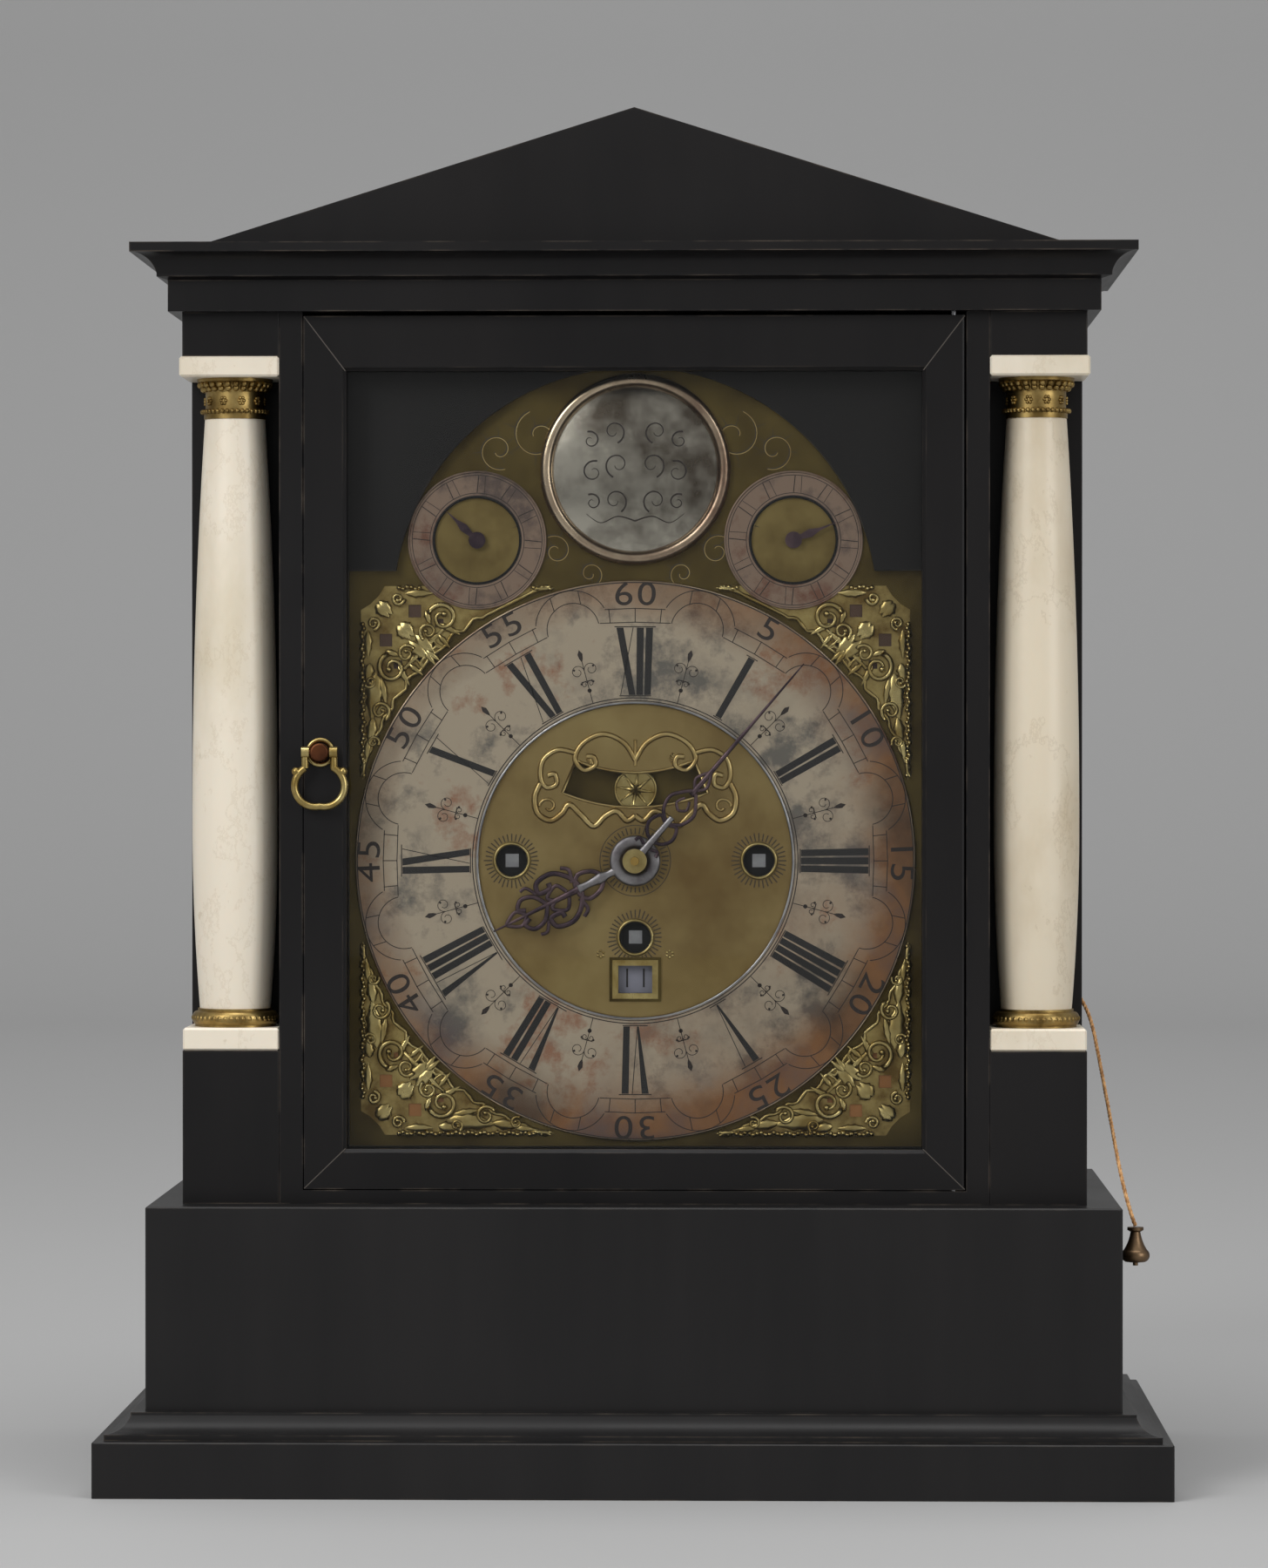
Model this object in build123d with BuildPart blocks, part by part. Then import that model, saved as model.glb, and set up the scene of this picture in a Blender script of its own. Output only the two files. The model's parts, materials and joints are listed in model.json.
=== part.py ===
from build123d import *
import math
import os

os.makedirs("parts", exist_ok=True)

# Bracket clock in an ebonised temple case. +X right, +Y to the back, +Z up, millimetres.
# The origin is the middle of the plinth's footprint, on the surface it stands on.

# plinth and base
plinth_width = 368.0
plinth_depth = 204.0
plinth_height = 19.2
base_width = 335.0
base_front = -84.0
base_back = plinth_depth / 2
base_height = 78.8
base_wall = 10.0
base_mould_out = 12.8
base_mould_fillet = 4.5
base_mould_height = 8.8
base_mould_bead = 2.0

# carcass
case_width = 312.0
case_front = -70.0
case_back = 98.0
side_thickness = 8.0
niche = 33.5
stile_width = 8.1
niche_back_thickness = 7.0
pedestal_height = 52.9
abacus_height = 7.0
column_plinth_height = 7.8
column_height = 239.6
block_height = 15.2
case_top_thickness = 8.0
fascia_height = 10.8
fascia_out = 4.5
cornice_height = 12.2
cornice_out = 16.5
cornice_step = 8.0
cornice_slab = 3.3
back_board_thickness = 10.0
back_setback = 4.0
back_opening_half = 100.0
back_opening_foot = 22.0
back_opening_top = 26.0
back_stile = 20.0

# pediment
pediment_half_width = 152.0
pediment_height = 47.8
pediment_front = -66.0
pediment_back = 94.0
gable_thickness = 8.0
roof_thickness = 6.0

# columns
abacus_out = 1.0
column_plinth_width = 33.4
shaft_top_radius = 10.45
shaft_swell_radius = 14.9
shaft_foot_radius = 12.3
ring_height = 6.3
ring_radius = 15.0
capital_height = 14.0

# front door
fit_gap = 0.35
door_height = 301.2
door_thickness = 14.0
door_stile = 14.7
door_top_rail = 18.9
door_bottom_rail = 13.8
sill_height = 4.8
glass_thickness = 2.0
glass_setback = 4.0
glass_rebate = 3.0
hinge_pin_radius = 1.0
hinge_pin_length = 8.0
hinge_inset = 4.0
hinge_depth = 2.0
pull_height = 155.9
pull_inset = 5.8
pull_stud_radius = 3.2
pull_stud_length = 7.0
pull_wire = 1.25
pull_half_width = 8.3
pull_drop = 18.6
pull_pin_radius = 0.8

# dial
dial_height = 216.2
mask_front = -55.0
mask_thickness = 3.4
dial_half_width = 102.0
mask_half_opening = 99.5
dial_bottom = 99.2
shoulder_height = 100.7
arch_centre = 87.2
arch_radius = 84.2
dial_overlap = 2.5
dial_thickness = 2.5
chapter_outer = 97.3
chapter_inner = 54.5
chapter_thickness = 1.6
winding_hole = 5.4
winding_x = 43.0
winding_z = 26.667
boss_height = 136.0
boss_radius = 33.2
boss_dome_radius = 28.7
boss_rise = 4.0
subdial_x = 55.0
subdial_height = 111.4
subdial_outer = 24.0
subdial_inner = 14.8
date_window = 11.8
date_window_tall = 9.6
date_window_drop = 41.3
date_disc_radius = 31.0
date_disc_drop = 65.7
spandrel_thickness = 2.6
spandrel_margin = 3.0
spandrel_head = 4.2
spandrel_foot = 2.7
spandrel_hole = 2.4
spandrel_near_hole = 14.0
spandrel_far_hole = 24.0

# hands
arbor_radius = 1.5
hand_thickness = 1.0
hour_length = 55.0
minute_length = 90.0
strike_hand_length = 15.4
repeat_hand_length = 17.0
hour_angle = 243.4
minute_angle = 40.6

# movement
centre_arbor_radius = 2.2
train_arbor_radius = 1.0
pallet_arbor_radius = 1.55
winding_radius = 2.4
winding_square = 4.6
cannon_radius = 2.55
bell_x = -34.0
bell_z = 58.0
bell_radius = 27.0
bell_depth = 19.4
bell_wall = 1.6
bell_crown = 5.0
plate_half_width = 66.0
plate_top = 92.0
plate_bottom = 62.0
plate_thickness = 2.4
front_plate_y = -28.0
back_plate_y = 24.0
pillar_radius = 4.0
pillar_inset = 8.0
barrel_radius = 22.0
barrel_length = 34.0
great_teeth = 72
centre_leaves = 8
centre_teeth = 64
third_leaves = 8
third_teeth = 54
fourth_leaves = 9
fourth_teeth = 36
escape_leaves = 10
escape_teeth = 30
escape_radius = 13.0
cannon_teeth = 24
minute_teeth = 36
minute_leaves = 10
hour_teeth = 80
great_module = 2 * winding_z / (great_teeth + centre_leaves)
motion_module = 0.8
train_module = 0.6
fourth_module = 0.85
pallet_height = 83.5
pendulum_length = 119.7
bob_radius = 15.0
bob_half = 4.2
mock_radius = 7.5
mock_drop = 58.9
slot_half_height = 6.1
slot_half_turn = 23.0
swing = 8.0
running_gap = 0.05
wheel_thickness = 1.5
seat_thickness = 6.0

# repeat cord
cord_fall_y = -68.0
cord_pull_radius = 4.9
cord_pull_height = 13.2
cord_pull_top = 90.4
cord_diameter = 1.5
cord_exit_y = -26.0
cord_exit_z = 172.0
cord_hole_radius = 3.0
pull_gap = 0.35

# heights and faces that follow from the sizes above
plinth_top = plinth_height
base_top = plinth_top + base_height
column_foot = base_top + pedestal_height
column_top = column_foot + column_height
carcass_top = column_top + block_height
fascia_top = carcass_top + fascia_height
cornice_top = fascia_top + cornice_height
half_case = case_width / 2
inner_half = half_case - side_thickness
niche_x = half_case - niche
niche_y = case_front + niche
stile_x = niche_x - stile_width
door_half = stile_x - fit_gap
sill_top = base_top + sill_height
door_foot = sill_top + fit_gap
door_top = door_foot + door_height
door_back = case_front + door_thickness
column_x = half_case - niche / 2
column_y = case_front + niche / 2
dial_front = mask_front + mask_thickness
dial_back = dial_front + dial_thickness


def dial_plane(y, x=0.0, z=0.0):
    """A plane at depth y that faces the front, with its origin (x, z) from the dial's centre."""
    return Plane(origin=(x, y, dial_height + z), x_dir=(1, 0, 0), z_dir=(0, -1, 0))


def save(part, name):
    """Name a finished piece and write its file."""
    part.label = name
    export_step(part, f"parts/{name}.step")


def block(x0, x1, y0, y1, z0, z1, mode=Mode.ADD):
    """A box between two corners."""
    with Locations(((x0 + x1) / 2, (y0 + y1) / 2, (z0 + z1) / 2)):
        Box(x1 - x0, y1 - y0, z1 - z0, mode=mode)


def disc(plane, radius, thickness, mode=Mode.ADD):
    """A round bar that starts on the plane and runs along its normal."""
    with BuildSketch(plane) as face:
        Circle(radius)
    extrude(face.sketch, amount=thickness, mode=mode)


def tube_ring(plane, outer, inner, thickness):
    """A flat ring that starts on the plane."""
    with BuildSketch(plane) as face:
        Circle(outer)
        Circle(inner, mode=Mode.SUBTRACT)
    extrude(face.sketch, amount=thickness)


def cut_wheel(plane, teeth, module, thickness, turn=0.0, spokes=0, rim=2.4, hub=4.0, tooth=0.40):
    """A toothed wheel that starts on the plane, crossed out when spokes are asked for."""
    pitch = teeth * module / 2
    share = 2 * math.pi / teeth
    root, tip = pitch - 1.15 * module, pitch + 0.7 * module
    points = []
    for index in range(teeth):
        for radius, part in ((root, -0.62), (tip, -0.28), (tip, 0.28), (root, 0.62)):
            angle = math.radians(turn) + (index + part * tooth) * share
            points.append((radius * math.cos(angle), radius * math.sin(angle)))
    with BuildSketch(plane) as face:
        with BuildLine():
            Polyline(*points, close=True)
        make_face()
        if spokes:
            Circle(root - rim, mode=Mode.SUBTRACT)
            Circle(hub)
            with PolarLocations((root - rim + hub) / 2, spokes):
                Rectangle(root - rim - hub + 2.0, 2.2)
    extrude(face.sketch, amount=thickness)


def moulding(profile, half, front, back, z):
    """A moulding round the left, front and right of a box, mitred at the corners; the profile is (out, up)."""
    with BuildLine() as path:
        Polyline((-half, back, z), (-half, front, z), (half, front, z), (half, back, z))
    with BuildSketch(Plane(origin=(-half, back, z), x_dir=(-1, 0, 0), z_dir=(0, 1, 0))) as face:
        with BuildLine():
            profile()
        make_face()
    sweep(face.sketch, path=path.line, transition=Transition.RIGHT)


def dome_arc(radius, foot, top, inner=0.0):
    """An arc from (inner, top) out to (radius, foot) on a sphere whose centre is on the axis."""
    reach = ((radius**2 - inner**2) + (top - foot) ** 2) / (2 * (top - foot))
    sphere = math.hypot(inner, reach) if inner else abs(reach)
    centre = top - reach if not inner else top - reach
    low = math.atan2(radius, (foot - centre) * (1 if top > foot else -1))
    high = math.atan2(inner, (top - centre) * (1 if top > foot else -1))
    middle = (low + high) / 2
    up = 1 if top > foot else -1
    return ThreePointArc(
        (inner, top), (sphere * math.sin(middle), centre + up * sphere * math.cos(middle)), (radius, foot)
    )


def turned(x, y, z, profile):
    """A turned piece on an upright axis through (x, y) that stands on z; the profile is (radius, up)."""
    with BuildSketch(Plane(origin=(x, y, z), x_dir=(1, 0, 0), z_dir=(0, -1, 0))) as face:
        with BuildLine():
            profile()
        make_face()
    revolve(face.sketch, axis=Axis((x, y, z), (0, 0, 1)))


# plinth and base
with BuildPart() as plinth:
    block(-plinth_width / 2, plinth_width / 2, -plinth_depth / 2, plinth_depth / 2, 0, plinth_top)
    fillet(plinth.edges().filter_by(Axis.Z), 0.8)
    chamfer(plinth.faces().sort_by(Axis.Z)[-1].edges(), 0.4)
save(plinth.part, "plinth")

with BuildPart() as base_frame:
    block(-base_width / 2, base_width / 2, base_front, base_back, plinth_top, base_top)
    fillet(base_frame.edges().filter_by(Axis.Z), 0.8)
    chamfer(base_frame.faces().sort_by(Axis.Z)[-1].edges(), 0.5)
    block(
        -base_width / 2 + base_wall,
        base_width / 2 - base_wall,
        base_front + base_wall,
        base_back - base_wall,
        plinth_top,
        base_top - base_wall,
        mode=Mode.SUBTRACT,
    )
save(base_frame.part, "base_frame")


def base_profile():
    """A square foot, a cove and a fillet."""
    Polyline((0, base_mould_height), (0, 0), (base_mould_out, 0), (base_mould_out, base_mould_bead))
    Line((base_mould_out, base_mould_bead), (base_mould_out - 1.2, base_mould_bead))
    ThreePointArc(
        (base_mould_out - 1.2, base_mould_bead),
        (base_mould_fillet + 2.2, base_mould_height * 0.48),
        (base_mould_fillet, base_mould_height - 1.0),
    )
    Line((base_mould_fillet, base_mould_height - 1.0), (base_mould_fillet, base_mould_height))
    Line((base_mould_fillet, base_mould_height), (0, base_mould_height))


with BuildPart() as base_moulding:
    moulding(base_profile, base_width / 2, base_front, base_back, plinth_top)
save(base_moulding.part, "base_moulding")

# carcass
with BuildPart() as pedestals:
    block(niche_x, half_case, case_front, niche_y, base_top, column_foot)
    fillet(pedestals.edges().filter_by(Axis.Z), 0.4)
    mirror(about=Plane.YZ)
save(pedestals.part, "pedestals")

with BuildPart() as entablature_blocks:
    block(niche_x, half_case, case_front, niche_y, column_top, carcass_top)
    fillet(entablature_blocks.edges().filter_by(Axis.Z), 0.4)
    mirror(about=Plane.YZ)
save(entablature_blocks.part, "entablature_blocks")

with BuildPart() as side_panel_left:
    block(-half_case, -inner_half, niche_y, case_back, base_top, carcass_top)
    fillet(side_panel_left.edges().filter_by(Axis.Z).group_by(Axis.X)[0], 0.4)
save(side_panel_left.part, "side_panel_left")

with BuildPart() as side_panel_right:
    block(inner_half, half_case, niche_y, case_back, base_top, carcass_top)
    fillet(side_panel_right.edges().filter_by(Axis.Z).group_by(Axis.X)[-1], 0.4)
    with BuildSketch(Plane(origin=(half_case, cord_exit_y, cord_exit_z), z_dir=(1, 0, 0))):
        Circle(cord_hole_radius)
    extrude(amount=-side_thickness, mode=Mode.SUBTRACT)
save(side_panel_right.part, "side_panel_right")

hinge_x = door_half - hinge_inset
hinge_y = case_front + hinge_depth
pin_reach = hinge_pin_length / 2
with BuildPart() as front_frame:
    for sign in (-1, 1):
        block(*sorted((sign * stile_x, sign * niche_x)), case_front, niche_y, base_top, carcass_top)
        block(
            *sorted((sign * stile_x, sign * inner_half)),
            niche_y,
            niche_y + niche_back_thickness,
            base_top,
            carcass_top,
        )
    block(-stile_x, stile_x, case_front, door_back, base_top, sill_top)
    disc(Plane.XY.offset(sill_top - pin_reach).move(Location((hinge_x, hinge_y, 0))), hinge_pin_radius,
         pin_reach, mode=Mode.SUBTRACT)
save(front_frame.part, "front_frame")

with BuildPart() as case_top:
    block(-half_case, half_case, case_front, case_back, carcass_top, fascia_top)
    disc(Plane.XY.offset(carcass_top).move(Location((hinge_x, hinge_y, 0))), hinge_pin_radius,
         pin_reach, mode=Mode.SUBTRACT)
save(case_top.part, "case_top")


def fascia_profile():
    """A plain flat band."""
    Polyline((0, 0), (fascia_out, 0), (fascia_out, fascia_height), (0, fascia_height), close=True)


with BuildPart() as frieze:
    moulding(fascia_profile, half_case, case_front, case_back, carcass_top)
save(frieze.part, "frieze")


def cornice_profile():
    """A small step, a cove and a thin square-edged slab."""
    slab_foot = cornice_height - cornice_slab
    Polyline((0, cornice_height), (0, 0), (fascia_out, 0), (cornice_step, 1.0), (cornice_step, 2.0))
    ThreePointArc(
        (cornice_step, 2.0),
        (cornice_step + (cornice_out - cornice_step) * 0.3, slab_foot * 0.75),
        (cornice_out - 1.4, slab_foot),
    )
    Polyline(
        (cornice_out - 1.4, slab_foot),
        (cornice_out, slab_foot),
        (cornice_out, cornice_height),
        (0, cornice_height),
    )


with BuildPart() as cornice:
    moulding(cornice_profile, half_case, case_front, case_back, fascia_top)
    block(-half_case, half_case, case_front, case_back, cornice_top - case_top_thickness, cornice_top)
save(cornice.part, "cornice")

# pediment: two gables with the roof boards between them
slope = math.atan2(pediment_height, pediment_half_width)
roof_drop = roof_thickness / math.cos(slope)
roof_run = roof_drop / math.tan(slope)
with BuildPart() as pediment:
    for y in (pediment_front + gable_thickness, pediment_back):
        with BuildSketch(Plane(origin=(0, y, cornice_top), x_dir=(1, 0, 0), z_dir=(0, -1, 0))):
            with BuildLine():
                Polyline((-pediment_half_width, 0), (pediment_half_width, 0), (0, pediment_height), close=True)
            make_face()
        extrude(amount=gable_thickness)
    with BuildSketch(
        Plane(origin=(0, pediment_back - gable_thickness, cornice_top), x_dir=(1, 0, 0), z_dir=(0, -1, 0))
    ):
        with BuildLine():
            Polyline(
                (-pediment_half_width, 0),
                (roof_run - pediment_half_width, 0),
                (0, pediment_height - roof_drop),
                (pediment_half_width - roof_run, 0),
                (pediment_half_width, 0),
                (0, pediment_height),
                close=True,
            )
        make_face()
    extrude(amount=pediment_back - pediment_front - 2 * gable_thickness)
save(pediment.part, "pediment")

# columns
stone_top = column_foot + column_plinth_height
shaft_foot = stone_top + ring_height
abacus_foot = column_top - abacus_height
shaft_top = abacus_foot - capital_height
shaft_height = shaft_top - shaft_foot
neck_radius = shaft_top_radius - 0.2


def ring_profile():
    """The torus under a shaft."""
    foot = ring_radius - 1.0
    Polyline((0, ring_height), (0, 0), (foot, 0), (foot, 0.6))
    ThreePointArc((foot, 0.6), (ring_radius, ring_height * 0.45), (foot, ring_height - 1.2))
    Polyline(
        (foot, ring_height - 1.2),
        (shaft_foot_radius + 0.6, ring_height - 0.8),
        (shaft_foot_radius + 0.6, ring_height),
        (0, ring_height),
    )


def shaft_profile():
    """A turned shaft that swells a third of the way up."""
    Polyline((shaft_top_radius, shaft_height), (0, shaft_height), (0, 0), (shaft_foot_radius, 0))
    swell = shaft_height * 0.34
    ThreePointArc(
        (shaft_foot_radius, 0), (shaft_foot_radius + 1.75, swell * 0.4), (shaft_swell_radius, swell)
    )
    ThreePointArc(
        (shaft_swell_radius, swell),
        (shaft_top_radius + 2.75, shaft_height * 0.74),
        (shaft_top_radius, shaft_height),
    )


def capital_profile():
    """Two rings, a neck and a flare."""
    flare = neck_radius + 2.9
    Polyline(
        (0, capital_height),
        (0, 0),
        (neck_radius + 0.5, 0),
        (neck_radius + 0.5, 2.0),
        (neck_radius + 1.0, 2.1),
        (neck_radius + 1.0, 3.3),
        (neck_radius, 3.4),
        (neck_radius, 9.3),
    )
    ThreePointArc((neck_radius, 9.3), (neck_radius + 1.2, 11.6), (flare - 0.6, 12.6))
    Polyline((flare - 0.6, 12.6), (flare, 12.9), (flare, capital_height), (0, capital_height))


for side, sign in (("left", -1), ("right", 1)):
    with BuildPart() as column_shaft:
        turned(sign * column_x, column_y, shaft_foot, shaft_profile)
    save(column_shaft.part, f"column_shaft_{side}")

with BuildPart() as column_mounts:
    for sign in (-1, 1):
        turned(sign * column_x, column_y, stone_top, ring_profile)
        turned(sign * column_x, column_y, shaft_top, capital_profile)
save(column_mounts.part, "column_mounts")

with BuildPart() as column_slabs:
    with Locations((-column_x, column_y, column_foot + column_plinth_height / 2),
                   (column_x, column_y, column_foot + column_plinth_height / 2)):
        Box(column_plinth_width, column_plinth_width, column_plinth_height)
    for sign in (-1, 1):
        block(*sorted((sign * niche_x, sign * (half_case + abacus_out))), case_front - abacus_out, niche_y,
              abacus_foot, column_top)
    chamfer(column_slabs.edges(), 0.7)
save(column_slabs.part, "column_slabs")

# front door
window_half = door_half - door_stile
window_foot = door_foot + door_bottom_rail
window_top = door_top - door_top_rail
window_middle = (window_foot + window_top) / 2
glass_front = case_front + glass_setback
with BuildPart() as door_frame:
    block(-door_half, door_half, case_front, door_back, door_foot, door_top)
    fillet(door_frame.edges().filter_by(Axis.Z).group_by(Axis.X)[-1], 1.2)
    block(-window_half, window_half, case_front, door_back, window_foot, window_top, mode=Mode.SUBTRACT)
    chamfer(door_frame.faces().sort_by(Axis.Y)[0].inner_wires()[0].edges(), 1.2)
    block(
        -window_half - glass_rebate,
        window_half + glass_rebate,
        glass_front,
        door_back,
        window_foot - glass_rebate,
        window_top + glass_rebate,
        mode=Mode.SUBTRACT,
    )
    for z in (door_foot, door_top - pin_reach):
        disc(Plane.XY.offset(z).move(Location((hinge_x, hinge_y, 0))), hinge_pin_radius + running_gap,
             pin_reach, mode=Mode.SUBTRACT)
    disc(Plane(origin=(-door_half + pull_inset, case_front, base_top + pull_height), x_dir=(1, 0, 0),
               z_dir=(0, 1, 0)), pull_stud_radius - 1.2, 6.0, mode=Mode.SUBTRACT)
save(door_frame.part, "door_frame")

with BuildPart() as door_glass:
    block(
        -window_half - glass_rebate,
        window_half + glass_rebate,
        glass_front,
        glass_front + glass_thickness,
        window_foot - glass_rebate,
        window_top + glass_rebate,
    )
save(door_glass.part, "door_glass")

# drop pull on a stud
pull_x = -door_half + pull_inset
pull_z = base_top + pull_height
pivot_y = case_front - pull_stud_length * 0.62
ear_x = pull_stud_radius + fit_gap
with BuildPart() as pull_stud:
    disc(Plane(origin=(pull_x, case_front + 6.0, pull_z), x_dir=(1, 0, 0), z_dir=(0, -1, 0)),
         pull_stud_radius - 1.2, 6.0)
    disc(Plane(origin=(pull_x, case_front, pull_z), x_dir=(1, 0, 0), z_dir=(0, -1, 0)),
         pull_stud_radius, pull_stud_length)
    fillet(pull_stud.faces().sort_by(Axis.Y)[0].edges(), 0.8)
    disc(Plane(origin=(pull_x - ear_x - 2.6, pivot_y, pull_z), x_dir=(0, 1, 0), z_dir=(1, 0, 0)),
         pull_pin_radius, 2 * ear_x + 5.2)
save(pull_stud.part, "pull_stud")

with BuildPart() as door_pull:
    for sign in (-1, 1):
        ear = Plane(origin=(pull_x + sign * ear_x, pivot_y, pull_z), x_dir=(0, 1, 0), z_dir=(sign, 0, 0))
        disc(ear, 2.1, 2.6)
        with Locations((pull_x + sign * (pull_half_width - 0.2), pivot_y, pull_z - 6.6)):
            Sphere(1.5)
    with BuildLine(Plane(origin=(pull_x, pivot_y, pull_z), x_dir=(1, 0, 0), z_dir=(0, -1, 0))) as bow:
        Line((-ear_x - 1.4, -0.4), (-ear_x - 1.4, -5.4))
        ThreePointArc((-ear_x - 1.4, -5.4), (-pull_half_width - 0.2, -10.6), (0, -pull_drop))
        ThreePointArc((0, -pull_drop), (pull_half_width + 0.2, -10.6), (ear_x + 1.4, -5.4))
        Line((ear_x + 1.4, -5.4), (ear_x + 1.4, -0.4))
    with BuildSketch(Plane(bow.line @ 0, z_dir=bow.line % 0)):
        Circle(pull_wire)
    sweep(path=bow.line, transition=Transition.ROUND)
    disc(Plane(origin=(pull_x - 12.0, pivot_y, pull_z), x_dir=(0, 1, 0), z_dir=(1, 0, 0)),
         pull_pin_radius + running_gap, 24.0, mode=Mode.SUBTRACT)
save(door_pull.part, "door_pull")

# back of the case: a fixed frame and a glazed door that turns on two pins
back_y = case_back - back_setback
opening_foot = base_top + back_opening_foot
opening_top = carcass_top - back_opening_top
back_hinge_x = -back_opening_half + hinge_inset
back_hinge_y = back_y - hinge_depth
with BuildPart() as back_frame:
    block(-inner_half, inner_half, back_y - back_board_thickness, back_y, base_top, carcass_top)
    block(-back_opening_half, back_opening_half, back_y - back_board_thickness, back_y, opening_foot, opening_top,
          mode=Mode.SUBTRACT)
    for z in (opening_foot - pin_reach, opening_top):
        disc(Plane.XY.offset(z).move(Location((back_hinge_x, back_hinge_y, 0))), hinge_pin_radius,
             pin_reach, mode=Mode.SUBTRACT)
save(back_frame.part, "back_frame")

with BuildPart() as back_door:
    edge = back_opening_half - fit_gap
    rails = (opening_foot + fit_gap, opening_top - fit_gap)
    block(-edge, edge, back_y - back_board_thickness, back_y, *rails)
    fillet(back_door.edges().filter_by(Axis.Z).group_by(Axis.X)[0], 1.2)
    block(back_stile - edge, edge - back_stile, back_y - back_board_thickness, back_y,
          rails[0] + back_stile, rails[1] - back_stile, mode=Mode.SUBTRACT)
    rebate = back_stile - glass_rebate
    block(rebate - edge, edge - rebate, back_y - back_board_thickness, back_y - glass_setback,
          rails[0] + rebate, rails[1] - rebate, mode=Mode.SUBTRACT)
    for z in (rails[0], rails[1] - pin_reach):
        disc(Plane.XY.offset(z).move(Location((back_hinge_x, back_hinge_y, 0))), hinge_pin_radius + running_gap,
             pin_reach, mode=Mode.SUBTRACT)
save(back_door.part, "back_door")

with BuildPart() as back_door_glass:
    block(rebate - edge, edge - rebate, back_y - glass_setback - glass_thickness, back_y - glass_setback,
          rails[0] + rebate, rails[1] - rebate)
save(back_door_glass.part, "back_door_glass")

with BuildPart() as door_pivots:
    pin_gap = 0.6
    for x, y, low, leaf_foot, leaf_top, high in (
        (hinge_x, hinge_y, sill_top, door_foot, door_top, carcass_top),
        (back_hinge_x, back_hinge_y, opening_foot, rails[0], rails[1], opening_top),
    ):
        post = Location((x, y, 0))
        lower = leaf_foot + pin_reach - pin_gap
        upper = leaf_top - pin_reach + pin_gap
        disc(Plane.XY.offset(low - pin_reach).move(post), hinge_pin_radius, lower - low + pin_reach)
        disc(Plane.XY.offset(upper).move(post), hinge_pin_radius, high + pin_reach - upper)
save(door_pivots.part, "door_pivots")

# dial: black mask, plate and what is pinned on it
with BuildPart() as dial_mask:
    block(-stile_x, stile_x, mask_front, dial_front, sill_top, carcass_top)
    with BuildSketch(dial_plane(dial_front)):
        with Locations((0, (shoulder_height - dial_bottom) / 2)):
            Rectangle(2 * mask_half_opening, dial_bottom + shoulder_height)
        with Locations((0, arch_centre)):
            Circle(arch_radius)
    extrude(amount=mask_thickness, mode=Mode.SUBTRACT)
save(dial_mask.part, "dial_mask")

winding_points = [(-winding_x, 0), (winding_x, 0), (0, -winding_z)]
with BuildPart() as dial_plate:
    with BuildSketch(dial_plane(dial_back)):
        with Locations((0, (shoulder_height - dial_bottom) / 2)):
            Rectangle(2 * dial_half_width, dial_bottom + shoulder_height + 2 * dial_overlap)
        with Locations((0, arch_centre)):
            Circle(arch_radius + dial_overlap)
        with Locations(*winding_points):
            Circle(winding_hole, mode=Mode.SUBTRACT)
        Circle(arbor_radius + 3.0, mode=Mode.SUBTRACT)
        with Locations((0, -date_window_drop)):
            Rectangle(date_window, date_window_tall, mode=Mode.SUBTRACT)
        with Locations((-subdial_x, subdial_height), (subdial_x, subdial_height)):
            Circle(1.2 + running_gap, mode=Mode.SUBTRACT)
        with BuildLine():
            slot_outer = CenterArc((0, pallet_height), mock_drop + slot_half_height,
                                   270 - slot_half_turn, 2 * slot_half_turn)
            slot_inner = CenterArc((0, pallet_height), mock_drop - slot_half_height,
                                   270 - slot_half_turn, 2 * slot_half_turn)
            Line(slot_outer @ 0, slot_inner @ 0)
            Line(slot_outer @ 1, slot_inner @ 1)
        make_face(mode=Mode.SUBTRACT)
    extrude(amount=dial_thickness)
    with BuildSketch(dial_plane(dial_front)):
        with Locations((0, -date_window_drop)):
            Rectangle(18.0, 15.4)
            Rectangle(date_window, date_window_tall, mode=Mode.SUBTRACT)
        with Locations(*winding_points):
            Circle(winding_hole + 1.1)
            Circle(winding_hole, mode=Mode.SUBTRACT)
    extrude(amount=0.7)
    disc(dial_plane(dial_back + 3.2, z=-date_disc_drop), 1.6, 3.2)
    with BuildSketch(dial_plane(dial_back + 5.6)):
        with Locations((0, pallet_height - mock_drop)):
            Rectangle(62.0, 20.0)
    extrude(amount=1.0)
    for sign in (-1, 1):
        block(*sorted((sign * 29.0, sign * 31.0)), dial_back, dial_back + 4.6,
              dial_height + pallet_height - mock_drop - 9.0, dial_height + pallet_height - mock_drop + 9.0)
save(dial_plate.part, "dial_plate")

with BuildPart() as chapter_ring:
    tube_ring(dial_plane(dial_front), chapter_outer, chapter_inner, chapter_thickness)
    chamfer(chapter_ring.faces().sort_by(Axis.Y)[0].edges(), 0.3)
save(chapter_ring.part, "chapter_ring")

with BuildPart() as subdial_rings:
    for sign in (-1, 1):
        tube_ring(dial_plane(dial_front, sign * subdial_x, subdial_height), subdial_outer, subdial_inner, 1.0)
save(subdial_rings.part, "subdial_rings")

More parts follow.
